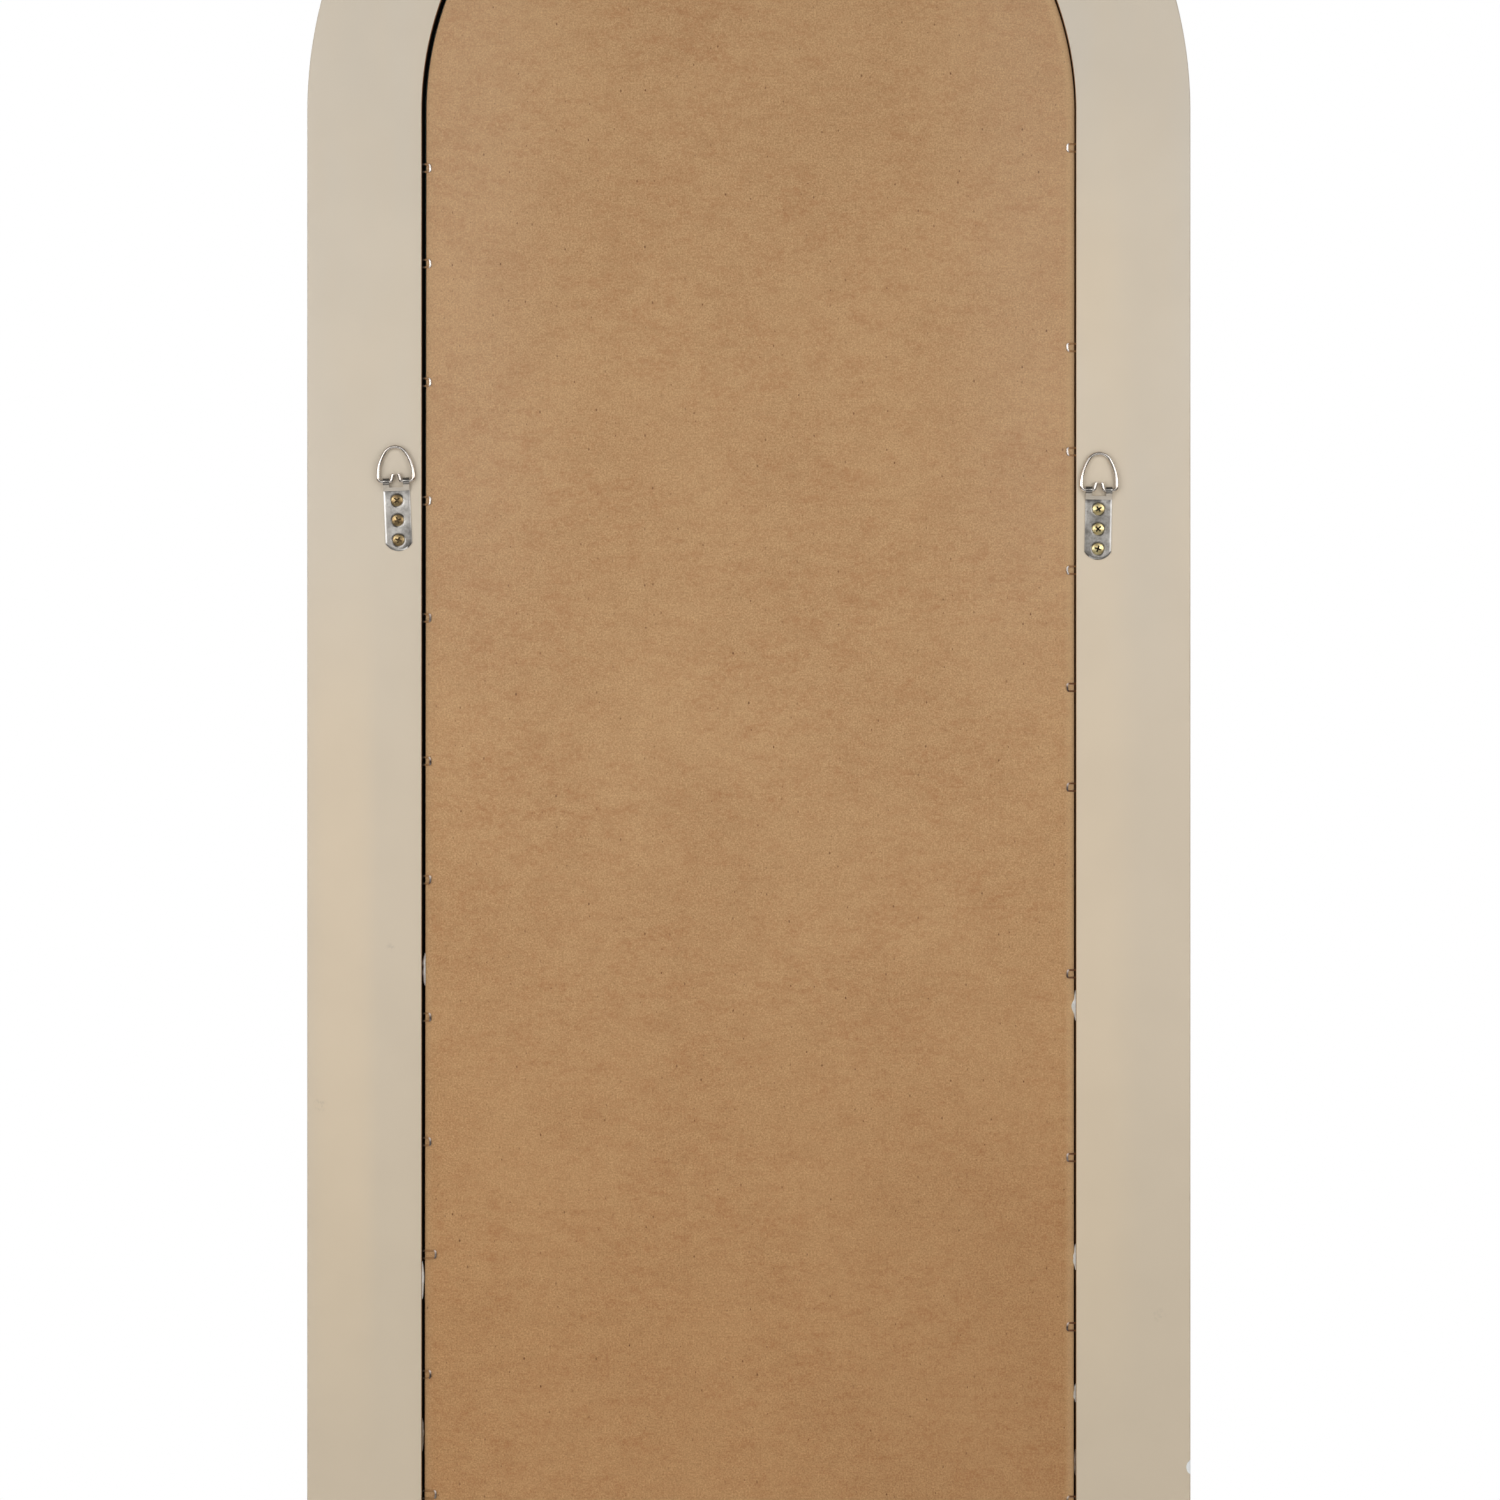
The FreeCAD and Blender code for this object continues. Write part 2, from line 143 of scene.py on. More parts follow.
def makePiece(name, shells, material, body, stands, sharp=35, marks=None):
    # joins closed shells into one piece; marks are values per vertex that a material reads
    points = np.concatenate([p for p, _ in shells]) * mm
    starts = np.cumsum([0] + [len(p) for p, _ in shells])
    faces = [[i + start for i in f] for (_, fs), start in zip(shells, starts) for f in fs]
    mesh = bpy.data.meshes.new(name)
    mesh.from_pydata(points.tolist(), [], faces)
    for label, values in (marks or {}).items():
        mark = mesh.attributes.new(label, "FLOAT", "POINT")
        mark.data.foreach_set("value", np.asarray(values, np.float32))
    work = bmesh.new()
    work.from_mesh(mesh)
    bmesh.ops.remove_doubles(work, verts=work.verts, dist=1e-7)
    bmesh.ops.recalc_face_normals(work, faces=work.faces)
    work.to_mesh(mesh)
    work.free()
    mesh.polygons.foreach_set("use_smooth", np.ones(len(mesh.polygons), bool))
    mesh.set_sharp_from_angle(angle=math.radians(sharp))
    mesh.materials.append(material)
    piece = addObject(name, mesh)
    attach(piece, body)
    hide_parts(*stands)


# Shader sums, on places in metres

class Value:
    # one output socket of a node tree: + - * / ** on it add Math nodes

    def __init__(self, tree, socket=None):
        self.tree = tree
        self.socket = socket

    def node(self, kind, settings=None, inputs=None, output=0):
        made = self.tree.nodes.new(kind)
        for name, setting in (settings or {}).items():
            setattr(made, name, setting)
        for name, given in (inputs or {}).items():
            if isinstance(given, Value):
                self.tree.links.new(given.socket, made.inputs[name])
            else:
                made.inputs[name].default_value = given
        return Value(self.tree, made.outputs[output] if made.outputs else None)

    def twin(self, output):                # another output of the same node
        return Value(self.tree, self.socket.node.outputs[output])

    def maths(self, operation, *values):
        return self.node("ShaderNodeMath", {"operation": operation}, dict(enumerate(values)))

    def sine(self):
        return self.maths("SINE", self)

    def wrapped(self, size):               # what is left after whole sizes are taken off
        return self.maths("MODULO", self, size)

    def __add__(self, other):
        return self.maths("ADD", self, other)

    def __sub__(self, other):
        return self.maths("SUBTRACT", self, other)

    def __rsub__(self, other):
        return self.maths("SUBTRACT", other, self)

    def __mul__(self, other):
        return self.maths("MULTIPLY", self, other)

    def __truediv__(self, other):
        return self.maths("DIVIDE", self, other)

    def __pow__(self, other):
        return self.maths("POWER", self, other)

    __radd__ = __add__
    __rmul__ = __mul__

    def between(self, low, high):          # 0 up to low, 1 from high on, smooth in between
        return self.node(
            "ShaderNodeMapRange", {"interpolation_type": "SMOOTHSTEP"},
            {"Value": self, "From Min": low, "From Max": high})

    def least(self, other):
        return self.maths("MINIMUM", self, other)

    def most(self, other):
        return self.maths("MAXIMUM", self, other)

    def tint(self, first, second, blend="MIX"):   # self is the share of the second colour
        return self.node(
            "ShaderNodeMix", {"data_type": "RGBA", "blend_type": blend},
            {0: self, 6: first, 7: second}, output=2)

    def noise(self, scale, detail=2.0, rough=0.5, stretch=None):
        place = self
        if stretch:
            place = self.node("ShaderNodeMapping", None, {"Vector": self, "Scale": stretch})
        return self.node("ShaderNodeTexNoise", None, {
            "Vector": place, "Scale": scale, "Detail": detail, "Roughness": rough})

    def cells(self, scale, output="Distance", flat=False):
        shape = {"voronoi_dimensions": "2D" if flat else "3D"}
        return self.node("ShaderNodeTexVoronoi", shape, {"Vector": self, "Scale": scale}, output)

    def axes(self):
        x = self.node("ShaderNodeSeparateXYZ", None, {"Vector": self})
        return x, x.twin(1), x.twin(2)

    def near(self, point, inner, outer):   # 1 within the inner distance of a point, 0 beyond the outer
        gap = self.node("ShaderNodeVectorMath", {"operation": "DISTANCE"}, {0: self, 1: point}, "Value")
        return gap.between(outer, inner)

    def bump(self, distance):
        return self.node("ShaderNodeBump", None, {"Height": self, "Distance": distance})

    def mark(self, name):                  # a value that the piece has at each vertex
        return self.node("ShaderNodeAttribute", {"attribute_name": name}, output="Fac")


def newMaterial(name):
    material = bpy.data.materials.new(name)
    material.use_nodes = True
    material.node_tree.nodes.clear()
    start = Value(material.node_tree)
    return material, start.node("ShaderNodeTexCoord", output="Object")


def surface(where, **sockets):
    # socket names are written in one word: specularIorLevel is Specular IOR Level
    inputs = {}
    for name, given in sockets.items():
        spaced = "".join(c if c.islower() else " " + c for c in name)
        inputs[spaced.title().replace("Ior", "IOR")] = given
    shader = where.node("ShaderNodeBsdfPrincipled", None, inputs)
    where.node("ShaderNodeOutputMaterial", None, {"Surface": shader})


def srgb(red, green, blue):
    # screen values of 0 to 255 as a linear colour
    share = np.array([red, green, blue]) / 255
    linear = np.where(share <= 0.04045, share / 12.92, ((share + 0.055) / 1.055) ** 2.4)
    return (*linear.tolist(), 1.0)


def archInset(where):
    # distance in from the frame's outer edge: half width less the radius about the spring line,
    # or the height above the floor where that is less
    x, y, z = where.axes()
    over = (z - spring * mm).most(0.0)
    radius = (x * x + over * over) ** 0.5
    return (halfWidth * mm - radius).least(z), x, y, z


# Cream paint on the frame

paintLook = {
    "warm": srgb(217, 203, 182), "cool": srgb(214, 203, 186),
    "low": srgb(214, 199, 177), "lowest": srgb(210, 195, 172),   # it has yellowed lower down, and it is darker there with painted shade
    "warmed": (1.07, 1.044, 1.004, 1.0),   # gain in red, green and blue where it is warmer
    "streakX": 281.0, "streakReach": 27.0,
    "shade": srgb(150, 138, 122),         # faint drifts of dust
    "scuff": srgb(120, 112, 104),
    "scuffs": ((296.0, 684.6, 6.0), (247.7, 793.7, 4.0), (-283.9, 539.6, 6.0)),   # x, z, size
    "thin": srgb(176, 158, 134), "rubWidth": 1.6,
    "primer": srgb(236, 238, 238),
    "chip": (-305.0, 434.6), "chipSize": (2.9, 4.9),
    "raw": srgb(150, 104, 60), "rawFibre": srgb(128, 84, 46), "sealerAndShade": srgb(22, 15, 10),
}


def creamPaint():
    material, where = newMaterial("cream paint")
    look = paintLook
    inset, x, y, z = archInset(where)
    cloud = where.noise(1.0, 3.0, 0.55, (11.0, 11.0, 3.0))
    drift = where.noise(19.0, 2.0, 0.5)
    colour = cloud.between(0.34, 0.66).tint(look["cool"], look["warm"])
    # darker and yellower lower down: the paint has yellowed, with painted shade as well
    colour = z.between(1.2, 0.85).tint(colour, look["low"])
    colour = z.between(0.85, 0.5).tint(colour, look["lowest"])
    # warmer streaks: up the middle of the +X stile, and beside the board on the other
    offStreak = (x - look["streakX"] * mm) / (look["streakReach"] * mm)
    onRight = (offStreak * offStreak).between(1.0, 0.03) * z.between(1.14, 0.92)
    onLeft = x.between(-0.275, -0.245) * x.between(0.0, -0.2) * z.between(1.42, 1.25)
    streak = (onRight + onLeft) * z.between(0.38, 0.62)
    colour = streak.tint(colour, look["warmed"], "MULTIPLY")
    colour = (drift.between(0.3, 0.75) * 0.05).tint(colour, look["shade"])
    smudge = where.noise(260.0, 3.0, 0.6).between(0.42, 0.7)
    for scuffX, scuffZ, size in look["scuffs"]:
        mark = where.near((scuffX * mm, back * mm, scuffZ * mm), size * 0.2 * mm, size * mm)
        colour = (mark * smudge * 0.3).tint(colour, look["scuff"])
    # a faint rub along the back's outer arris, where the paint is thin
    rub = inset.between(look["rubWidth"] * mm, 0.0002) * y.between(0.0132, 0.0152)
    rub = rub * where.noise(42.0, 4.0, 0.65).between(0.5, 0.72)
    colour = (rub * 0.35).tint(colour, look["thin"])
    # the chip: an ellipse on the edge with a torn outline
    ragged = where.noise(420.0, 3.0, 0.6) * 0.9 + 0.55
    acrossChip = (x - look["chip"][0] * mm) / (look["chipSize"][0] * mm)
    alongChip = (z - look["chip"][1] * mm) / (look["chipSize"][1] * mm)
    spread = (acrossChip * acrossChip + alongChip * alongChip) / ragged
    chip = spread.between(1.05, 0.9) * y.between(0.0105, 0.0115)
    colour = chip.tint(colour, look["primer"])
    # the rabbet is bare fibreboard, dark with sealer and painted shade towards the glass
    rabbet = inset.between((band - 0.25) * mm, (band - 0.05) * mm) * y.between(0.0012, 0.0019)
    fibres = where.noise(900.0, 2.0, 0.7).between(0.3, 0.7)
    bare = fibres.tint(look["raw"], look["rawFibre"])
    bare = y.between(0.0142, 0.0095).tint(bare, look["sealerAndShade"])
    colour = rabbet.tint(colour, bare)
    peel = where.noise(330.0, 3.0, 0.55)
    height = peel * 0.7 + where.noise(60.0, 2.0) * 0.6 - chip * 4.0
    roughness = 0.4 + cloud * 0.1 + rabbet * 0.4 + chip * 0.2
    surface(where, baseColor=colour, roughness=roughness, specularIorLevel=0.4,
            normal=height.bump(0.00003))
    return material


# Frame members: the moulding's section carried up a stile, over the arch or along the rail

frameForm = {
    "outerRound": 6.0, "crownRise": 2.5, "coveRun": 17.0, "coveHollow": 1.4,
    "sightSetback": 11.0, "sightSoft": 1.0, "backArris": 1.2, "rabbetArris": 0.6, "lipArris": 0.4,
    "stileRows": 28, "archRows": 144, "railRows": 12,
}


def mouldingSection():
    # (distance in from the outer edge, y), once round the section
    f = frameForm
    face = band + lip
    shoulder = front + f["crownRise"]
    coveEnd = np.array([face, front + f["sightSetback"]])
    coveStart = np.array([face - f["coveRun"], shoulder])
    coveMiddle = (coveStart + coveEnd) / 2 + [0, f["coveHollow"]]
    cove = arcThrough(coveEnd, coveMiddle, coveStart, 40)
    cove = cove[np.linalg.norm(cove - coveEnd, axis=1) > f["sightSoft"]]
    sightLow = coveEnd + [0, f["sightSoft"]]
    crownMiddle = [(f["outerRound"] + coveStart[0]) / 2, front]
    crown = arcThrough(coveStart, crownMiddle, [f["outerRound"], shoulder], 40)
    r, a, o, s = f["rabbetArris"], f["backArris"], f["outerRound"], f["lipArris"]
    return np.concatenate([
        circleArc((a, back - a), a, 180, 90, 8),
        np.stack([np.linspace(a, band - r, 12)[1:-1], np.full(10, back)], -1),
        circleArc((band - r, back - r), r, 90, 0, 6),
        [[band, lipPlane], [face - s, lipPlane]],
        softCorner((face - s, lipPlane), (face, lipPlane), (face, lipPlane - s), 4)[1:],
        softCorner(sightLow, coveEnd, cove[0], 7),
        cove[1:-1],
        crown[:-1],
        circleArc((o, shoulder + o), o, 270, 180, 12),
    ])


def frameMembers(paint):
    section = mouldingSection()
    u, y = section[:, 0], section[:, 1]

    def carried(rows, xOf, zOf):
        t = np.linspace(0, 1, rows)[:, None]
        return pointGrid(xOf(t), y[None, :], zOf(t))

    stile = carried(frameForm["stileRows"], lambda t: u - halfWidth, lambda t: u + (spring - u) * t)
    rail = carried(frameForm["railRows"], lambda t: (halfWidth - u) * (2 * t - 1), lambda t: u + 0 * t)
    arch = carried(
        frameForm["archRows"],
        lambda t: -(halfWidth - u) * np.cos(math.pi * t),
        lambda t: spring + (halfWidth - u) * np.sin(math.pi * t))
    for name, grid, node in (
        ("paintedLeftStile", stile, "left_stile"),
        ("paintedRightStile", stile * [-1, 1, 1], "right_stile"),
        ("paintedArch", arch, "arch_head"),
        ("paintedBottomRail", rail, "bottom_rail"),
    ):
        makePiece(name, [shellOf(grid)], paint, "mirror", [node], sharp=50)


frameMembers(creamPaint())
print("frame members made")


# Fibreboard back

boardLook = {
    "pale": srgb(217, 177, 130), "dark": srgb(158, 117, 76),
    "red": srgb(168, 114, 72), "fleck": srgb(104, 62, 34),
    "ageingAndShade": (0.94, 0.88, 0.8, 1.0),     # what is left of red, green and blue low down, from ageing and painted shade
    "gapLeft": 0.75, "gapRight": 3.05, "arris": 0.5,
    "leanLeft": 0.5, "leanRight": 1.3,    # how far each side runs towards +X in a metre down
    "sawn": srgb(246, 212, 160),          # the cut edge, paler, with painted light over the shade of the wall
    "dust": srgb(214, 188, 164), "fleckCells": 180.0,
}


def gapAt(side, drop):
    # board to rabbet wall, at a drop below the spring line
    if side == left:
        return boardLook["gapLeft"] + boardLook["leanLeft"] * drop * mm
    return boardLook["gapRight"] - boardLook["leanRight"] * drop * mm


def panelShell(leftX, rightX, section, leanLeft=0.0, leanRight=0.0, archPoints=97, sidePoints=20):
    # an arch-topped outline drawn in by each inset of the section: (inset, y), front to back;
    # below the spring line each side leans towards +X with its drop
    inset, y = section[:, :1], section[:, 1:]
    low = band + inset
    radius = (rightX - leftX) / 2 - inset
    middle = (leftX + rightX) / 2
    angle = np.linspace(0, math.pi, archPoints)[None, :]
    up = np.linspace(0, 1, sidePoints)[None, :-1]
    overArch = pointGrid(middle + radius * np.cos(angle), y, spring + radius * np.sin(angle))
    drop = (spring - low) * (1 - up)
    rightSide = pointGrid(middle + radius + leanRight * drop * mm, y, spring - drop)
    leftSide = pointGrid(middle - radius + leanLeft * drop * mm, y, spring - drop)
    return shellOf(np.concatenate([rightSide, overArch, leftSide[:, ::-1]], 1))


def boardFibre():
    material, where = newMaterial("bare fibreboard")
    look = boardLook
    inset, x, _, z = archInset(where)
    grain = where.noise(820.0, 3.0, 0.8)
    clump = where.noise(260.0, 3.0, 0.65)
    mottle = where.noise(70.0, 4.0, 0.72)
    cloud = where.noise(9.0, 3.0, 0.55)
    colour = grain.between(0.22, 0.78).tint(look["dark"], look["pale"])
    colour = (clump.between(0.48, 0.74) * 0.36).tint(colour, look["dark"])
    colour = (mottle.between(0.4, 0.75) * 0.2).tint(colour, look["dark"])
    colour = (cloud.between(0.35, 0.7) * 0.16).tint(colour, look["pale"])
    # reddish fibre bundles: soft flat streaks, broken up by finer ones, that gather in wider zones
    zone = where.noise(1.0, 3.0, 0.55, (9.0, 9.0, 14.0))
    streak = where.noise(1.0, 4.0, 0.74, (60.0, 60.0, 130.0))
    speck = where.noise(1.0, 3.0, 0.7, (260.0, 260.0, 330.0))
    bundle = streak.between(0.34, 0.7) * (0.4 + zone.between(0.25, 0.65) * 0.6) * speck.between(0.3, 0.64)
    colour = (bundle * 0.58).tint(colour, look["red"])
    # short dark fibres: the middles of some tall cells, each cell with its own chance and size
    tall = where.node("ShaderNodeCombineXYZ", None, {"X": x, "Y": z * 0.6})
    size, pick, depth = tall.cells(look["fleckCells"], "Color", True).axes()
    reach = size * size * 0.11 + 0.045
    fromMiddle = tall.cells(look["fleckCells"], "Distance", True)
    fleck = (fromMiddle / reach).between(1.0, 0.3) * pick.between(0.45, 0.55)
    colour = (fleck * (0.2 + depth ** 4.0 * 0.75)).tint(colour, look["fleck"])
    # darker and yellower low down: ageing, with painted shade as well
    colour = z.between(1.0, 0.45).tint(colour, look["ageingAndShade"], "MULTIPLY")
    # it is dusty high up along both sides, and grimy with painted shade in the low corner on -X
    dust = (x * x).between(0.008, 0.04) * z.between(0.9, 1.15)
    colour = (dust * 0.1).tint(colour, look["dust"])
    grimeAndShade = x.between(0.02, -0.2) * z.between(0.85, 0.45)
    colour = (grimeAndShade * 0.1).tint(colour, look["fleck"])
    # paler towards the cut edge: painted light that evens out the wall's shade, stronger on -X
    cutEdge = inset.between((band + 9.0) * mm, (band + 1.5) * mm) * (0.15 + x.between(0.1, -0.1) * 0.2)
    colour = cutEdge.tint(colour, look["sawn"])
    height = grain * 0.8 + clump * 0.5 - fleck
    surface(where, baseColor=colour, roughness=0.58 + grain * 0.14, specularIorLevel=0.3,
            normal=height.bump(0.00004))
    return material


def backingBoard():
    # a slab with quarter-round arrises
    r = boardLook["arris"]
    section = np.concatenate([
        circleArc((r, glassBack + r), r, 270, 180, 5),
        circleArc((r, boardBack - r), r, 180, 90, 5),
    ])
    shell = panelShell(-rabbetHalf + boardLook["gapLeft"], rabbetHalf - boardLook["gapRight"], section,
                       boardLook["leanLeft"], boardLook["leanRight"])
    makePiece("fibreBoard", [shell], boardFibre(), "mirror", ["backing_board"])


backingBoard()
print("backing board made")


# Mirror glass

glassLook = {
    "silver": srgb(236, 240, 239), "hazy": srgb(222, 229, 228), "edge": srgb(120, 160, 148),
    "backPaint": srgb(44, 40, 38), "brushed": srgb(58, 53, 49),
    "clearance": 2.0, "arris": 0.5,
    "skin": (0.1, 0.4),                   # silver and back paint fade on the edge between these depths
}


def silveredGlass():
    material, where = newMaterial("silvered glass")
    look = glassLook
    _, y, _ = where.axes()
    full, none = look["skin"]
    face = y.between((lipPlane + none) * mm, (lipPlane + full) * mm)
    painted = y.between((glassBack - none) * mm, (glassBack - full) * mm)
    haze = where.noise(6.0, 4.0, 0.6)
    brushed = where.noise(120.0, 3.0, 0.6, (1.0, 1.0, 0.15))
    silver = (haze.between(0.45, 0.8) * 0.05).tint(look["silver"], look["hazy"])
    colour = face.tint(look["edge"], silver)
    backCoat = brushed.between(0.3, 0.7).tint(look["backPaint"], look["brushed"])
    colour = painted.tint(colour, backCoat)
    surface(where, baseColor=colour, metallic=face,
            roughness=0.012 + haze * 0.012 + (1 - face) * 0.4, specularIorLevel=0.5)
    return material


def mirrorGlass():
    a = glassLook["arris"]
    edge = rabbetHalf - glassLook["clearance"]
    section = np.array([[a, lipPlane], [0, lipPlane + a], [0, glassBack - a], [a, glassBack]])
    makePiece("mirrorPane", [panelShell(-edge, edge, section)], silveredGlass(),
              "mirror", ["mirror_glass"], sharp=20)


mirrorGlass()
print("glass made")


# Staples

stapleForm = {
    "crown": 6.4, "wire": 1.2, "height": 1.0, "bend": 0.5, "leg": 16.0, "corner": 0.24,
    "stand": 6.4, "proudStand": 10.0, "tip": 0.5, "skew": 0.28, "seed": 7, "legTintFade": 0.7, "rows": 46,
    "right": (39, 105, 187, 269, 350, 449, 531, 626, 712, 873, 1040, 1125, 1210),
    "rightProud": (790, 956),
    "left": (25, 163, 235, 317, 398, 467, 596, 723, 840, 960, 1080, 1200),
    "archAngles": (28, 60, 90, 118, 151),
    "railPitch": 105.0, "railCount": 4,
    "bright": srgb(240, 236, 231), "dull": srgb(206, 197, 188),
    "crownShade": srgb(58, 40, 32), "crownHighlight": srgb(222, 204, 190),   # painted shade on the lower end and painted highlight on the upper end of the low crowns
    # the legs' colour: resin and a painted reflection of the board, darker low on -X; painted shade over
    # the gap
    "resinAndBoardReflection": srgb(162, 122, 81), "lowResinAndBoardReflection": srgb(122, 84, 58), "shaded": srgb(62, 54, 46),
}


def stapleWire():
    material, where = newMaterial("galvanised wire")
    look = stapleForm
    inset, x, _, z = archInset(where)
    leg, rise = where.mark("leg"), where.mark("rise")
    dull = where.noise(160.0, 3.0, 0.6)
    bloom = where.noise(900.0, 2.0, 0.6)
    colour = dull.between(0.35, 0.7).tint(look["bright"], look["dull"])
    low = z.between(1.08, 1.0)                         # dust and resin dull the lower ones, whose crowns get painted shade and a painted highlight
    # painted shade on the lower end of each low crown, a painted highlight on its upper end
    lowTone = rise.between(-0.1, 0.8).tint(look["crownShade"], look["crownHighlight"])
    colour = (low * (0.8 + dull.between(0.35, 0.65) * 0.2)).tint(colour, lowTone)
    # the legs are brown with resin and a painted reflection of the board where they lie on it, and
    # painted dark with shade in the wide gap
    overGap = inset.between((band + 2.6) * mm, (band + 1.6) * mm) * x.between(-0.1, 0.1)
    resinAndBoardReflection = (low * x.between(0.1, -0.1)).tint(look["resinAndBoardReflection"], look["lowResinAndBoardReflection"])
    colour = leg.tint(colour, overGap.tint(resinAndBoardReflection, look["shaded"]))
    surface(where, baseColor=colour, metallic=1.0 - (leg * 0.9).most(low * 0.9),
            roughness=0.12 + bloom * 0.1 + leg * 0.45 + low * 0.35, normal=bloom.bump(0.00002))
    return material


def roundedSlab(width, height, corner):
    # a rectangle with round corners, once round
    w, h = width / 2 - corner, height / 2 - corner
    return np.concatenate([
        circleArc((cx, cy), corner, first, first + 90, 4)
        for cx, cy, first in ((w, h, 0), (-w, h, 90), (-w, -h, 180), (w, -h, 270))
    ])


def stapleLine(stand):
    # legs along +X, crown across Z: leg, bend, crown, bend, leg
    f = stapleForm
    half = (f["crown"] - f["wire"]) / 2
    bend = f["bend"] + f["wire"] / 2
    crownX = f["wire"] / 2 - stand
    tipX = f["leg"] - stand
    turnUp = circleArc((crownX + bend, half - bend), bend, 90, 180, 12)
    turnDown = circleArc((crownX + bend, bend - half), bend, 180, 270, 12)
    xz = np.concatenate([[[tipX, half]], turnUp, turnDown, [[tipX, -half]]])
    return pointGrid(xz[:, 0], 0.0, xz[:, 1])


def staples():
    f = stapleForm
    chance = np.random.default_rng(f["seed"])
    section = roundedSlab(f["wire"], f["height"], f["corner"])
    metal = stapleWire()
    legs, rises = [], []                   # share of leg, and height on the crown, of each vertex

    def placed(stand, x, z, angle):
        grid = wireAlong(stapleLine(stand), (0, 1, 0), section, f["rows"], f["tip"])
        bias = chance.uniform(-1, 1)
        legs.append(np.clip((grid[..., 0] + stand - f["wire"]) / f["legTintFade"], 0, 1).ravel())
        rises.append((grid[..., 2] / (f["crown"] / 2) * math.cos(math.radians(angle))).ravel())
        outside = np.clip(-grid[..., 0] / stand, 0, 1)        # legs stay straight inside the wall
        grid[..., 0] += f["skew"] * bias * outside * grid[..., 2] / (f["crown"] / 2)
        grid = turned(grid, "y", -angle)
        return shellOf(grid + [x, boardBack + f["height"] / 2, z])

    rightRows = [(d, f["stand"]) for d in f["right"]] + [(d, f["proudStand"]) for d in f["rightProud"]]
    firstX = -f["railPitch"] * (f["railCount"] - 1) / 2
    sets = {
        "rightStapleRow": [placed(s, rabbetHalf, spring - d, 0) for d, s in rightRows],
        "leftStapleRow": [placed(f["stand"], -rabbetHalf, spring - d, 180) for d in f["left"]],
        "archStapleRow": [
            placed(f["stand"], rabbetHalf * math.cos(math.radians(a)),
                   spring + rabbetHalf * math.sin(math.radians(a)), a)
            for a in f["archAngles"]],
        "railStapleRow": [
            placed(f["stand"], firstX + i * f["railPitch"], band, 270)
            for i in range(f["railCount"])],
    }
    for name, shells in sets.items():
        node = name.replace("StapleRow", "_staples")
        marks = {label: np.concatenate([made.pop(0) for _ in shells])
                 for label, made in (("leg", legs), ("rise", rises))}
        makePiece(name, shells, metal, "mirror", [node], sharp=60, marks=marks)


staples()
print("staples made")


# Glue dabs in the gap beside the board

dabForm = {
    # below the spring line, length, 1 if it clings to the board and 0 to the wall, dirt, share of gap
    # and how far it spills past that in its middle
    "right": ((593, 23.5, 1, 0.15, 0.9, 0.0), (808, 27.0, 0, 0.0, 0.6, 0.0),
              (915, 23.5, 0, 0.85, 0.6, 0.0)),
    "left": ((618, 21.5, 0, 0.05, 1.0, 2.0), (792, 18.5, 0, 0.1, 1.0, 0.8),
             (886, 13.0, 0, 0.4, 1.0, 0.3), (934, 18.5, 0, 0.9, 0.9, 0.0)),
    "proud": 1.9, "spillSpan": 0.4, "seed": 11, "rows": 41, "around": 28,
    "past": 0.35, "bite": 0.15,           # past its share of the gap, and into what it clings to
    "taper": 0.6, "plump": 0.8, "ripple": 0.14, "fattest": 1.1,
    "milk": srgb(248, 249, 245), "cloudy": srgb(226, 227, 220), "dirt": srgb(104, 86, 66),
}


def driedGlue():
    material, where = newMaterial("dried glue")
    dirt = where.mark("dirt")
    milk = where.noise(240.0, 3.0, 0.6)
    colour = milk.between(0.3, 0.7).tint(dabForm["milk"], dabForm["cloudy"])
    colour = (dirt * (0.75 + 0.5 * milk)).tint(colour, dabForm["dirt"])
    surface(where, baseColor=colour, roughness=0.3 + milk * 0.2, subsurfaceWeight=0.15,
            subsurfaceRadius=(0.002, 0.0015, 0.001), normal=milk.bump(0.0001))
    return material


def glueDabs():
    f = dabForm
    chance = np.random.default_rng(f["seed"])
    glue = driedGlue()
    for side, key in bothSides:
        shells, dirts = [], []
        for drop, length, onBoard, dirt, fill, spill in f[key]:
            gap = gapAt(side, drop)
            # along: a lens that tapers to both ends; round: half an ellipse off its flat side
            t = np.linspace(-1, 1, f["rows"])[:, None]
            v = onceRound(f["around"])[None, :]
            lobes = chance.uniform(-1, 1, 3)
            ripple = lobes[0] * np.sin(4 * t) + lobes[1] * np.sin(7 * t + 1) + lobes[2] * np.sin(11 * t)
            fat = np.clip(1 - t**2, 0, 1) ** f["taper"] * (1 + f["ripple"] * ripple)
            reach = gap * fill + f["past"] + spill * np.exp(-(t / f["spillSpan"]) ** 2)
            bulge = np.clip(np.cos(v), 0, None) ** f["plump"] * reach
            depth = bulge * np.clip(fat, 0, f["fattest"]) - f["bite"]
            tall = glassBack + (boardBack + f["proud"] * fat - glassBack) * (0.5 + 0.5 * np.sin(v))
            base = rabbetHalf - (gap if onBoard else 0)
            x = side * (base + depth * (1 if onBoard else -1))
            z = spring - drop + t * length / 2
            grid = pointGrid(x, tall, z)
            shells.append(shellOf(grid))
            dirts.append(np.full(grid.shape[0] * grid.shape[1], dirt))
        makePiece(key + "GlueBeads", shells, glue, "mirror", [key + "_glue_dabs"],
                  sharp=70, marks={"dirt": np.concatenate(dirts)})


glueDabs()
print("glue dabs made")


# Hangers: made upright over the origin on a back face at y = 0, then put on their stile

hangerPlace = {                            # bar below the spring line, bar out from the rabbet wall, lean
    left: (262.0, 15.6, 1.0),
    right: (256.0, 17.4, 2.4),
}
barHeight = 2.4


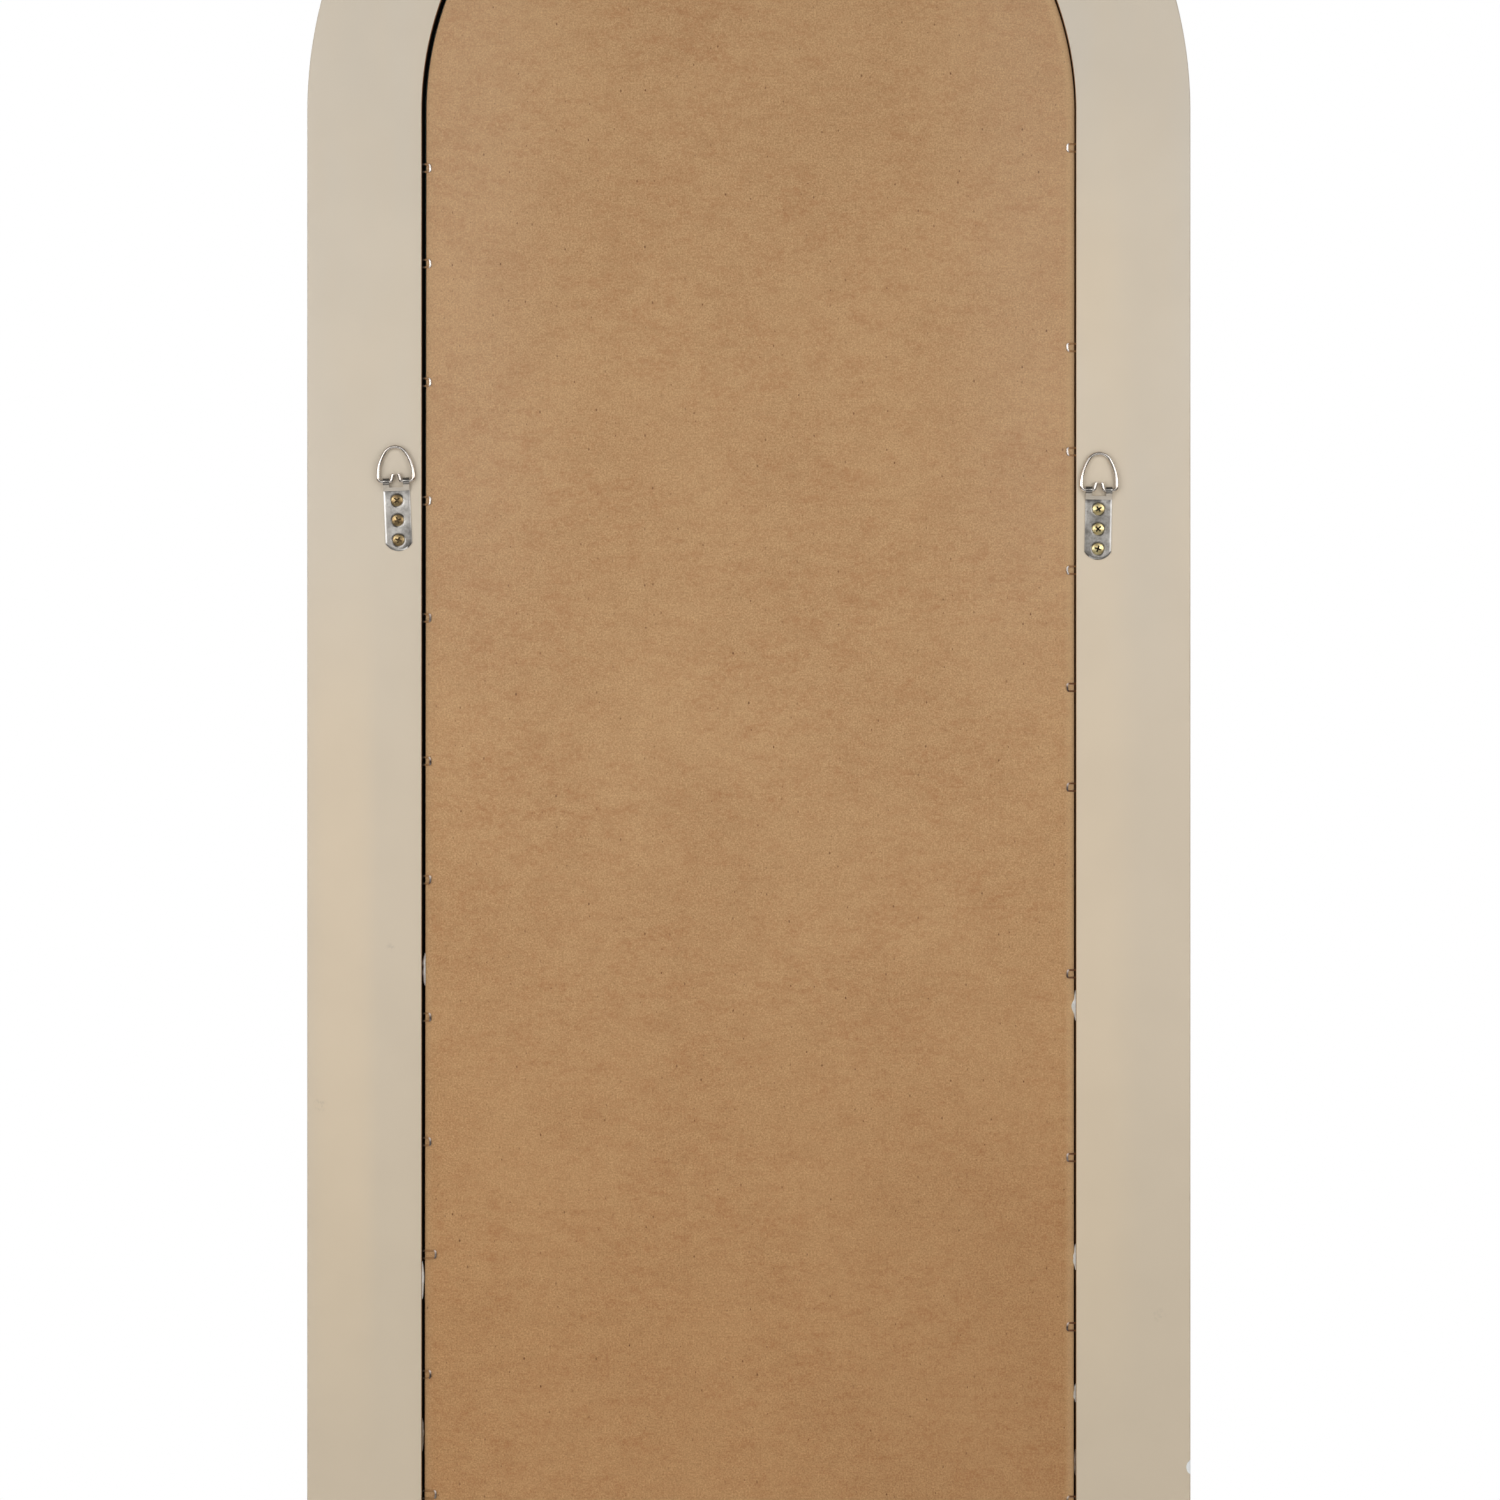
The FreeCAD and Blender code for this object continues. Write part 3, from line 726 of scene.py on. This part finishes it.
def onStile(grid, side):
    drop, inset, lean = hangerPlace[side]
    return turned(grid, "y", side * lean) + [side * (rabbetHalf + inset), back, spring - drop]


def onRightHanger(where):
    # 1 on the +X hanger, 0 on the other
    x, _, _ = where.axes()
    return x.between(-0.05, 0.05)


# D rings

ringForm = {
    "wire": 2.6, "width": 27.2, "height": {left: 26.6, right: 25.2}, "corner": 3.0, "crown": 8.6,
    "restGap": 0.3, "notch": 9.5, "sideRoom": 0.3, "bend": 1.5, "lean": 15.0, "reach": 5.6, "tip": 0.5,
    "rows": 220, "around": 24, "bright": srgb(236, 230, 223), "drawn": srgb(214, 203, 192),
}


def nickel():
    material, where = newMaterial("nickel plate")
    haze = where.noise(260.0, 2.0, 0.5)
    draw = where.noise(45.0, 3.0, 0.6)
    colour = draw.between(0.35, 0.7).tint(ringForm["bright"], ringForm["drawn"])
    surface(where, baseColor=colour, metallic=1.0, roughness=0.15 + haze * 0.08,
            normal=haze.bump(0.000002))
    return material


def ringLine(top):
    # right half: finger, its bend, bar, corner and side, then the crown, and the left half mirrored
    f = ringForm
    sideX = (f["width"] - f["wire"]) / 2
    crownZ = top - f["crown"]
    bendX = f["notch"] / 2 - f["sideRoom"]
    finger = circleArc((bendX, f["bend"]), f["bend"], f["lean"] - 180, -90, 30)
    rise = f["reach"] - finger[0, 1]
    fingerTip = finger[0] + [-math.tan(math.radians(f["lean"])) * rise, rise]
    climb = crownZ - f["corner"]
    sideRadius = (sideX**2 - f["crown"] ** 2 + climb**2) / (2 * (sideX - f["crown"]))
    meet = math.degrees(math.atan2(climb, sideRadius - sideX))
    corner = circleArc((sideX - f["corner"], f["corner"]), f["corner"], -90, 0, 40)
    side = circleArc((sideX - sideRadius, f["corner"]), sideRadius, 0, meet, 60)
    crown = circleArc((0, crownZ), f["crown"], meet, 90, 60)
    half = np.concatenate([[fingerTip], finger, corner, side[1:], crown[1:]])
    xz = np.concatenate([half, (half * [-1, 1])[-2::-1]])
    return pointGrid(xz[:, 0], 0.0, xz[:, 1])


def rings():
    f = ringForm
    radius = f["wire"] / 2
    section = circleArc((0, 0), radius, 0, 360, f["around"] + 1)[:-1]
    metal = nickel()
    for side, key in bothSides:
        top = f["height"][side] - radius
        lean = math.degrees(math.asin((barHeight - radius - f["restGap"]) / top))
        grid = wireAlong(ringLine(top), (0, 1, 0), section, f["rows"], f["tip"])
        grid = turned(grid, "x", lean) + [0, barHeight, 0]
        makePiece(key + "WireRing", [shellOf(onStile(grid, side))], metal,
                  key + "_ring", [key + "_d_ring"], sharp=80)


rings()
print("rings made")


# Hanger screws

screwForm = {
    "first": 13.1, "pitch": 13.7, "head": 3.95, "shank": 2.0, "depth": 15.0, "point": 3.0,
    "seat": 3.229, "rim": 0.3, "dome": 0.8, "soft": 0.14,
    "span": 2.5, "slot": 0.6, "floorSpan": 1.3, "floorSlot": 0.4, "recess": 1.6,
    "turns": {left: (35.0, 48.0, 73.0), right: (45.0, 20.0, 68.0)},
    "verge": 1.04,                        # rounded verge of the recess, to the recess
    "gold": (srgb(250, 234, 178), srgb(244, 218, 156)),       # on the -X strap
    "bronzeAndShaded": (srgb(196, 172, 126), srgb(166, 138, 98)),      # on the +X strap: a bronze tone with a painted darker reflection
    # grime and painted shade in the recesses
    "grimeAndShade": srgb(40, 28, 14),
}


def yellowZinc():
    material, where = newMaterial("yellow zinc plate")
    outward = onRightHanger(where)
    sheen = where.noise(420.0, 2.0, 0.5).between(0.35, 0.65)
    haze = where.noise(1400.0, 2.0, 0.6)
    # the +X screws: a bronze tone with a painted darker reflection
    colour = outward.tint(sheen.tint(*screwForm["gold"]), sheen.tint(*screwForm["bronzeAndShaded"]))
    # grime and painted shade in the recesses, less on the +X screws
    grimeAndShade = where.mark("grimeAndShade") * (1.0 - outward * 0.35)
    colour = grimeAndShade.tint(colour, screwForm["grimeAndShade"])
    surface(where, baseColor=colour, metallic=1.0 - grimeAndShade * 0.8,
            roughness=0.26 + haze * 0.16 + grimeAndShade * 0.4, normal=haze.bump(0.00001))
    return material


def crossOutline(span, slot):
    # one arm's end, side and inner corner, repeated in four quarters
    end = np.stack([np.full(4, span), np.linspace(-slot, slot, 5)[:-1]], -1)
    side = np.stack([np.linspace(span, slot, 7)[:-1], np.full(6, slot)], -1)
    other = np.stack([np.full(6, slot), np.linspace(slot, span, 7)[:-1]], -1)
    arm = np.concatenate([end, side, other])
    quarters = []
    for k in range(4):
        c, s = math.cos(k * math.pi / 2), math.sin(k * math.pi / 2)
        quarters.append(arm @ np.array([[c, s], [-s, c]]))
    return np.concatenate(quarters)


def screwGrid():
    # rows run from the middle of the recess out over the dome, the rim and the cone to the point
    f = screwForm
    rimLow = f["head"] - f["seat"]
    rimTop = rimLow + f["rim"]
    top = rimTop + f["dome"]
    domeRadius = (f["head"] ** 2 + f["dome"] ** 2) / (2 * f["dome"])
    mouth = crossOutline(f["span"], f["slot"])
    floor = crossOutline(f["floorSpan"], f["floorSlot"])
    verge = mouth * f["verge"]
    spokes = mouth / np.linalg.norm(mouth, axis=1)[:, None]

    def onDome(flat):
        return top - domeRadius + np.sqrt(domeRadius**2 - (flat**2).sum(1))

    rows, grimeAndShade = [], []

    def row(flat, y, dirt=0.0):
        rows.append(pointGrid(flat[:, 0], y, flat[:, 1]))
        grimeAndShade.append(dirt)

    # each row's dirt is its share of grime and painted shade
    for share, deep in ((0, 1), (0.6, 0.97), (1, 0.86)):              # shares of the recess
        row(floor * share, top - f["recess"] * deep, 1.0)
    for share, below, dirt in ((0.97, 0.16, 0.7), (1, 0.05, 0.25)):   # its upper wall
        row(mouth * share, onDome(mouth) - below, dirt)
    row(verge, onDome(verge), 0.05)
    for share in (0.3, 0.6, 0.85, 1.0):
        flat = verge * (1 - share) + spokes * (f["head"] - 2 * f["soft"]) * share
        row(flat, onDome(flat))
    edge = circleArc((f["head"] - f["soft"], rimTop - f["soft"] * 0.5), f["soft"], 80, 0, 5)
    for radius, y in edge:
        row(spokes * radius, y)
    row(spokes * f["head"], rimLow)
    for radius, y in ((f["shank"], f["shank"] - f["seat"]), (f["shank"], -f["depth"]),
                      (0.0, -f["depth"] - f["point"])):
        row(spokes * radius, y)
    return np.stack(rows), np.repeat(grimeAndShade, len(mouth))


def screws():
    f = screwForm
    grid, grimeAndShade = screwGrid()
    metal = yellowZinc()
    for side, key in bothSides:
        shells = [
            shellOf(onStile(
                turned(grid, "y", turn) - [0, 0, f["first"] + i * f["pitch"]], side), capped=False)
            for i, turn in enumerate(f["turns"][side])]
        makePiece(key + "CrossScrews", shells, metal, "mirror", [key + "_hanger_screws"],
                  sharp=38, marks={"grimeAndShade": np.tile(grimeAndShade, len(shells))})


screws()
print("screws made")


# Straps: a plate with three countersinks, two knuckles round the bar and the flap that joins them

strapForm = {
    "width": 18.3, "thick": 1.0, "length": 48.0, "endRadius": 10.5, "run": 1.6, "drop": 0.45,
    "flapDrop": 5.2, "landing": 1.3, "notchDrop": 4.1, "hole": 3.3, "mouth": 5.1, "soft": 0.15,
    "overlap": 0.2, "sidePoints": 14, "bendPoints": 48, "softRows": 5,
    "frontSteps": (0.0, 0.15, 0.35, 0.5, 0.58, 0.66, 0.74, 0.82, 0.9, 0.96, 1.0),
    "zinc": (srgb(208, 204, 198), srgb(170, 165, 159)), "patch": srgb(124, 119, 113),
    # a darker grey for painted shadow and dark reflections on the straps; the rim colour is a painted
    # highlight
    "spangle": srgb(214, 211, 206), "darkenedGrey": srgb(70, 67, 64), "rim": srgb(250, 248, 245),
    # the flap colour is a painted reflection of the frame; the knuckle and crease colours are painted
    # shade
    "flap": srgb(206, 195, 179), "rolled": srgb(104, 100, 96), "creaseShade": srgb(44, 40, 36),
    # the countersinks' grey, and the colour of their painted highlight
    "sink": srgb(140, 136, 130), "sinkGlint": srgb(250, 248, 244),
}


def zincPlate():
    material, where = newMaterial("zinc plate")
    look = strapForm
    across, lift, along = map(where.mark, ("across", "lift", "along"))   # mm from the bar, on the strap
    outward = onRightHanger(where)
    cloud = where.noise(75.0, 4.0, 0.65)
    patch = where.noise(260.0, 4.0, 0.7)
    scratch = where.noise(1.0, 3.0, 0.7, (700.0, 700.0, 60.0))
    spangle = where.cells(170.0, "Color").axes()[0]
    colour = cloud.between(0.35, 0.68).tint(*look["zinc"])
    colour = (patch.between(0.45, 0.7) * 0.5).tint(colour, look["patch"])
    colour = (spangle * 0.15).tint(colour, look["spangle"])
    # the -X strap is darker all over; the +X one has a painted dark reflection low on its inner side, and
    # both have a painted shadow just under the flap
    foot = -look["flapDrop"] - look["landing"]
    dull = along.between(-26.0, -36.0) * across.between(1.0, -6.0) * outward
    under = along.between(foot - 5.0, foot - 0.3) * lift.between(1.4, 1.1)
    grey = (dull * 0.6).most(under * (0.85 - outward * 0.3)) * cloud.between(0.2, 0.5)
    allOver = 0.15 + cloud.between(0.35, 0.65) * 0.2 + patch.between(0.4, 0.6) * 0.1
    grey = grey.most((1 - outward) * allOver)
    colour = grey.tint(colour, look["darkenedGrey"])
    # a painted highlight along the outer rim, stronger on the +X strap
    rim = across.between(7.8, 8.7) * lift.between(1.4, 1.1)
    colour = (rim * (0.5 + outward * 0.4)).tint(colour, look["rim"])
    # the flap has a painted cream reflection of the frame; the knuckles are smooth where they were
    # rolled, and have painted shade
    flap = lift.between(1.5, 1.9) * along.between(-1.6, -2.6)
    colour = (flap * 0.75).tint(colour, look["flap"])
    # painted shade on the knuckles
    rolled = lift.between(1.1, 1.5) * along.between(-2.4, -1.4)
    colour = (rolled * 0.25).tint(colour, look["rolled"])
    # painted shade in the creases under the knuckles and along their tops
    creaseShade = along.between(-1.2, -1.8) * along.between(-2.7, -2.1)
    creaseShade = lift.between(1.1, 1.5) * creaseShade.most(along.between(1.2, 2.2))
    colour = (creaseShade * 0.65).tint(colour, look["creaseShade"])
    # the countersinks are greyer, with a painted highlight low on their inner side
    pitch = screwForm["pitch"]
    offScrew = (along + (screwForm["first"] + 3.5 * pitch)).wrapped(pitch) - pitch / 2
    sink = lift.between(0.97, 0.88) * (across * across).between(40.0, 32.0)
    sinkGlintShare = sink * (across * -0.8 - offScrew * 0.6).between(1.2, 3.6) * (0.5 + outward * 0.5)
    colour = (sink * 0.5).tint(colour, look["sink"])
    colour = (sinkGlintShare * 0.9).tint(colour, look["sinkGlint"])
    roughness = 0.26 + cloud * 0.14 + patch * 0.14 + scratch * 0.05 - rolled * 0.24 - rim * 0.12
    height = scratch * 0.3 + cloud + patch * 0.5
    surface(where, baseColor=colour, metallic=1.0 - (flap * 0.7).most(sinkGlintShare * 0.7),
            roughness=roughness, normal=height.bump(0.00003))
    return material


def strapPlate():
    # one cell per screw; its rings of points run from the hole's back edge up the countersink, out
    # over the front, down the edge and back underneath; the front drops towards the rim with the
    # square of how far a point has come into the run
    f = strapForm
    half, thick, n = f["width"] / 2, f["thick"], f["sidePoints"]
    pitch = screwForm["pitch"]
    endMiddle = np.array([0.0, f["endRadius"] - f["length"]])
    spread = math.degrees(math.asin(half / f["endRadius"]))
    endArc = circleArc(endMiddle, f["endRadius"], 270 - spread, 270 + spread, n + 1)

    def crossLine(z, way):                 # points gather towards the rims
        share = np.sin(np.linspace(-math.pi / 2, math.pi / 2, n + 1))
        return np.stack([way * half * share, np.full(n + 1, z)], -1)

    def frontAt(flat):
        toEnd = f["endRadius"] - np.linalg.norm(flat - endMiddle, axis=-1)
        toEnd = np.where(flat[..., 1] < endMiddle[1], toEnd, half)
        edge = np.minimum(half - np.abs(flat[..., 0]), toEnd)
        return thick - f["drop"] * np.clip(1 - edge / f["run"], 0, 1) ** 2

    shells = []
    for i in range(3):
        middle = -screwForm["first"] - i * pitch
        high = -f["flapDrop"] if i == 0 else middle + pitch / 2
        top = crossLine(high, -1)
        low = endArc if i == 2 else crossLine(middle - pitch / 2, 1)
        sides = [top, np.linspace(top[-1], low[0], n + 1), low, np.linspace(low[-1], top[0], n + 1)]
        border = np.concatenate([side[:-1] for side in sides])
        spoke = border - [0, middle]
        spoke /= np.linalg.norm(spoke, axis=1)[:, None]
        verge = [0, middle] + spoke * (f["mouth"] + f["soft"])
        rows = [([0, middle] + spoke * r, y) for r, y in (
            (f["hole"], 0.0), (f["mouth"] - 2 * f["soft"], thick - 1.2 * f["soft"]),
            (f["mouth"] - f["soft"] / 2, thick - f["soft"] / 4))]
        for share in f["frontSteps"]:
            flat = verge + (border - verge) * share
            rows.append((flat, frontAt(flat)))
        rows.append((border, 0.0))
        grid = np.stack([pointGrid(p[:, 0], y, p[:, 1]) for p, y in rows])
        points, faces = shellOf(grid, capped=False, wrapRows=True)
        # cells that meet share a border, so the wall between them is left out
        wall = (len(rows) - 2) * len(border) + np.arange(len(border))
        shared = np.zeros(len(faces), bool)
        shared[wall[:n]] = i > 0
        shared[wall[2 * n:3 * n]] = i < 2
        shells.append((points, [face for face, skip in zip(faces, shared) if not skip]))
    return shells


def softBar(outline, first, last):
    # an outline in (y, z) carried along X, drawn in at both ends like a quarter circle
    ahead = np.roll(outline, -1, 0) - np.roll(outline, 1, 0)
    inward = np.stack([-ahead[:, 1], ahead[:, 0]], -1) / np.linalg.norm(ahead, axis=1)[:, None]
    after = np.roll(outline, -1, 0)
    inward *= np.sign((outline[:, 0] * after[:, 1] - after[:, 0] * outline[:, 1]).sum())
    turn = np.linspace(0, math.pi / 2, strapForm["softRows"])
    soft = strapForm["soft"]
    x = np.concatenate([first + soft * (1 - np.cos(turn)), (last - soft * (1 - np.cos(turn)))[::-1]])
    shrink = soft * (1 - np.sin(np.concatenate([turn, turn[::-1]])))
    flat = outline[None] + shrink[:, None, None] * inward[None]
    return shellOf(pointGrid(x[:, None], flat[..., 0], flat[..., 1]))


def strapLoop():
    # (y, z) from the side: up the stile, round the bar, and down the flap, which leaves the bar at
    # the slope that lets its inner line meet the plate at the flap's drop
    f = strapForm
    half, thick = f["width"] / 2, f["thick"]
    bore = barHeight - thick
    slope = 2 * math.atan(bore / f["flapDrop"])
    outer = circleArc((barHeight, 0), barHeight, 180, -math.degrees(slope), f["bendPoints"])
    inner = circleArc((barHeight, 0), bore, -math.degrees(slope), 180, f["bendPoints"])

    def down(start, z):
        return [start[0] - (start[1] - z) * math.tan(slope), z]

    high = -f["notchDrop"]
    cut = high - f["overlap"]              # the loops' ends dive into the flap, a little thinner
    sunk = np.array([f["soft"], 0])
    knuckle = np.concatenate([
        [sunk + [0, cut], [0, high]], outer,
        [down(outer[-1], high), down(outer[-1], cut) - sunk, down(inner[0], cut) + sunk], inner,
        [[thick, high], [thick, cut] - sunk]])
    foot = -f["flapDrop"] - f["landing"]
    landing = outer[-1][1] - (outer[-1][0] - 2 * thick) / math.tan(slope)
    flap = np.array([
        [0, foot], [0, high], [thick, high], [thick, -f["flapDrop"]], down(inner[0], high),
        down(outer[-1], high), [2 * thick, landing], [2 * thick, foot]])
    gap = ringForm["notch"] / 2
    return [softBar(knuckle, -half, -gap), softBar(knuckle, gap, half), softBar(flap, -half, half)]


def straps():
    shells = strapPlate() + strapLoop()
    local = np.concatenate([points for points, _ in shells])
    marks = dict(zip(("across", "lift", "along"), local.T))
    zinc = zincPlate()
    for side, key in bothSides:
        marks["across"] = side * local[:, 0]
        placed = [(onStile(points, side), faces) for points, faces in shells]
        makePiece(key + "ZincStrap", placed, zinc, "mirror", [key + "_hanger_strap"],
                  sharp=40, marks=marks)


straps()
print("straps made")


# Dowels inside the joints

dowelForm = {
    "radius": 4.0, "length": 40.0, "flutes": 20, "fluteDepth": 0.28, "flutePoints": 6,
    "chamfer": 1.6, "chamferInset": 0.9, "bandShares": (1 / 3, 2 / 3),
    "wood": (srgb(206, 168, 122), srgb(176, 134, 88)), "ray": srgb(140, 98, 60),
}


def beech():
    material, where = newMaterial("bare beech")
    growth = where.noise(1.0, 3.0, 0.6, (420.0, 420.0, 40.0))
    ray = where.noise(700.0, 2.0, 0.7)
    colour = growth.between(0.3, 0.7).tint(*dowelForm["wood"])
    colour = (ray.between(0.55, 0.75) * 0.35).tint(colour, dowelForm["ray"])
    surface(where, baseColor=colour, roughness=0.6 + ray * 0.1, normal=growth.bump(0.00005))
    return material


def dowels():
    # round the pin: a circle less narrow flutes; along it: full between two chamfered ends
    f = dowelForm
    angle = onceRound(f["flutes"] * f["flutePoints"])
    half = f["length"] / 2
    stations = np.array([-half, -half + f["chamfer"], half - f["chamfer"], half])[:, None]
    fluted = f["radius"] - f["fluteDepth"] * (0.5 + 0.5 * np.cos(f["flutes"] * angle)) ** 3
    radius = fluted[None, :] - f["chamferInset"] * np.array([1, 0, 0, 1])[:, None]
    upright = pointGrid(radius * np.cos(angle), radius * np.sin(angle), stations)
    wood = beech()
    for name, node, tilt, heightAt in (
        ("springDowelPins", "spring_dowels", 0.0, lambda u: spring),
        ("cornerDowelPins", "corner_dowels", 135.0, lambda u: u),
    ):
        shells = []
        for share in f["bandShares"]:
            u = band * share
            pin = turned(upright, "y", tilt) + [u - halfWidth, 0, heightAt(u)]
            shells += [shellOf(pin), shellOf(pin * [-1, 1, 1])]
        makePiece(name, shells, wood, "mirror", [node])


dowels()
print("dowels made")


# Studio: pale floor, white ground, soft boxes and the camera

studio = {
    "floorRadius": 2.0, "floorHole": 0.02, "floorRings": 12, "floorSpokes": 96, "floorDrop": 0.0004,
    "floorFade": 0.6, "floor": srgb(247, 246, 244), "floorDrift": srgb(236, 234, 230),
    # light of the room, the wall behind the camera, its share above eye level and towards +X, the
    # ground, the wall that the glass faces, its bands and the ceiling
    "room": 0.08, "wall": 0.12, "above": 0.5, "aside": 0.9, "ground": 0.5,
    "facing": 0.58, "bands": 0.2, "ceiling": 0.04,
    "camera": (-0.0008, 3.3, 0.9297), "sensor": 36.0,
    "seen": 1.0356,                       # metres of the frame's back across the picture
    "boxes": (   # place, aimed at, width, height, watts, whether metal mirrors it
        ((1.05, 1.15, 1.37), (0.0, 0.0, 1.3), 1.4, 0.48, 5.6, True),
        ((-1.05, 1.15, 1.37), (0.0, 0.0, 1.3), 1.4, 0.48, 5.4, True),
        ((1.05, 1.15, 1.95), (0.0, 0.0, 1.3), 1.2, 0.6, 2.0, True),
        ((-1.05, 1.15, 1.95), (0.0, 0.0, 1.3), 1.2, 0.6, 2.0, True),
        ((0.95, 0.95, 0.7), (0.0, 0.0, 0.7), 0.9, 0.7, 4.0, False),
        ((-0.95, 0.95, 0.7), (0.0, 0.0, 0.7), 0.9, 0.7, 3.5, False),
        ((1.3, -2.0, 2.2), (0.0, 0.0, 1.0), 1.2, 1.2, 30.0, True),
    ),
}


def studioFloor():
    material, where = newMaterial("studio floor")
    x, y, _ = where.axes()
    radius = (x * x + y * y) ** 0.5
    drift = where.noise(3.0, 3.0, 0.5)
    colour = (drift * 0.12).tint(studio["floor"], studio["floorDrift"])
    matt = where.node("ShaderNodeBsdfPrincipled", None, {
        "Base Color": colour, "Roughness": 0.5 + drift * 0.1, "Specular IOR Level": 0.25})
    clear = where.node("ShaderNodeBsdfTransparent")
    fade = radius.between(studio["floorFade"], studio["floorRadius"] * 0.98)
    mixed = where.node("ShaderNodeMixShader", None, {0: fade, 1: matt, 2: clear})
    where.node("ShaderNodeOutputMaterial", None, {"Surface": mixed})
    # a disc: rings of growing radius
    ring = np.linspace(studio["floorHole"], studio["floorRadius"], studio["floorRings"])[:, None]
    angle = onceRound(studio["floorSpokes"])[None, :]
    grid = pointGrid(ring * np.cos(angle), ring * np.sin(angle), -studio["floorDrop"])
    points, faces = shellOf(grid, capped=False)
    faces.append(np.arange(studio["floorSpokes"]).tolist())
    mesh = bpy.data.meshes.new("studioFloor")
    mesh.from_pydata(points.tolist(), [], faces)
    mesh.materials.append(material)
    floor = addObject("studioFloor", mesh)


def studioWorld():
    world = bpy.data.worlds.new("studio")
    world.use_nodes = True
    world.node_tree.nodes.clear()
    bpy.context.scene.world = world
    start = Value(world.node_tree)
    toward = start.node("ShaderNodeTexCoord", output="Generated")
    x, y, z = toward.axes()
    # what lights and is mirrored: a dim room, a wall behind the camera that is paler above eye
    # level and towards +X, a pale floor in front of it, and the wall that the glass faces, with
    # wide slanting bands of light
    above = z.between(0.02, 0.07) * z.between(0.42, 0.22)
    above = above * (studio["above"] + x.between(-0.2, 0.2) * studio["aside"])
    wall = y.between(0.7, 0.95) * (studio["wall"] + above)
    ground = z.between(-0.5, -0.75) * y.between(0.1, 0.5) * studio["ground"]
    bands = (x * 13.0 + z * 6.0 + 0.5).sine()
    facing = y.between(0.2, -0.9) * (studio["facing"] + bands * studio["bands"])
    glow = studio["room"] + wall + ground + facing + z.between(0.5, 0.9) * studio["ceiling"]
    seen = start.node("ShaderNodeLightPath", output="Is Camera Ray")
    strength = glow + seen * (1.0 - glow)
    light = start.node("ShaderNodeBackground", None, {"Color": (1, 1, 1, 1), "Strength": strength})
    start.node("ShaderNodeOutputWorld", None, {"Surface": light})


def softBoxes():
    for i, (place, aim, width, height, watts, mirrored) in enumerate(studio["boxes"]):
        lamp = bpy.data.lights.new(f"softBox{i}", "AREA")
        lamp.shape, lamp.size, lamp.size_y, lamp.energy = "RECTANGLE", width, height, watts
        holder = addObject(f"softBox{i}", lamp)
        offX, offY, offZ = np.array(place) - np.array(aim)
        yaw = math.atan2(offX, -offY)
        pitch = math.atan2(math.hypot(offX, offY), offZ)
        holder.location = place
        holder.rotation_euler = (pitch, 0, yaw)
        holder.visible_camera = False
        holder.visible_glossy = mirrored


def camera():
    lens = bpy.data.cameras.new("camera")
    lens.sensor_width = studio["sensor"]
    lens.lens = studio["sensor"] * (studio["camera"][1] - back * mm) / studio["seen"]
    holder = addObject("camera", lens)
    holder.location = studio["camera"]
    holder.rotation_euler = (math.pi / 2, 0, math.pi)
    bpy.context.scene.camera = holder


studioFloor()
studioWorld()
softBoxes()
camera()
bpy.context.scene.view_settings.view_transform = "Standard"
print("studio set")
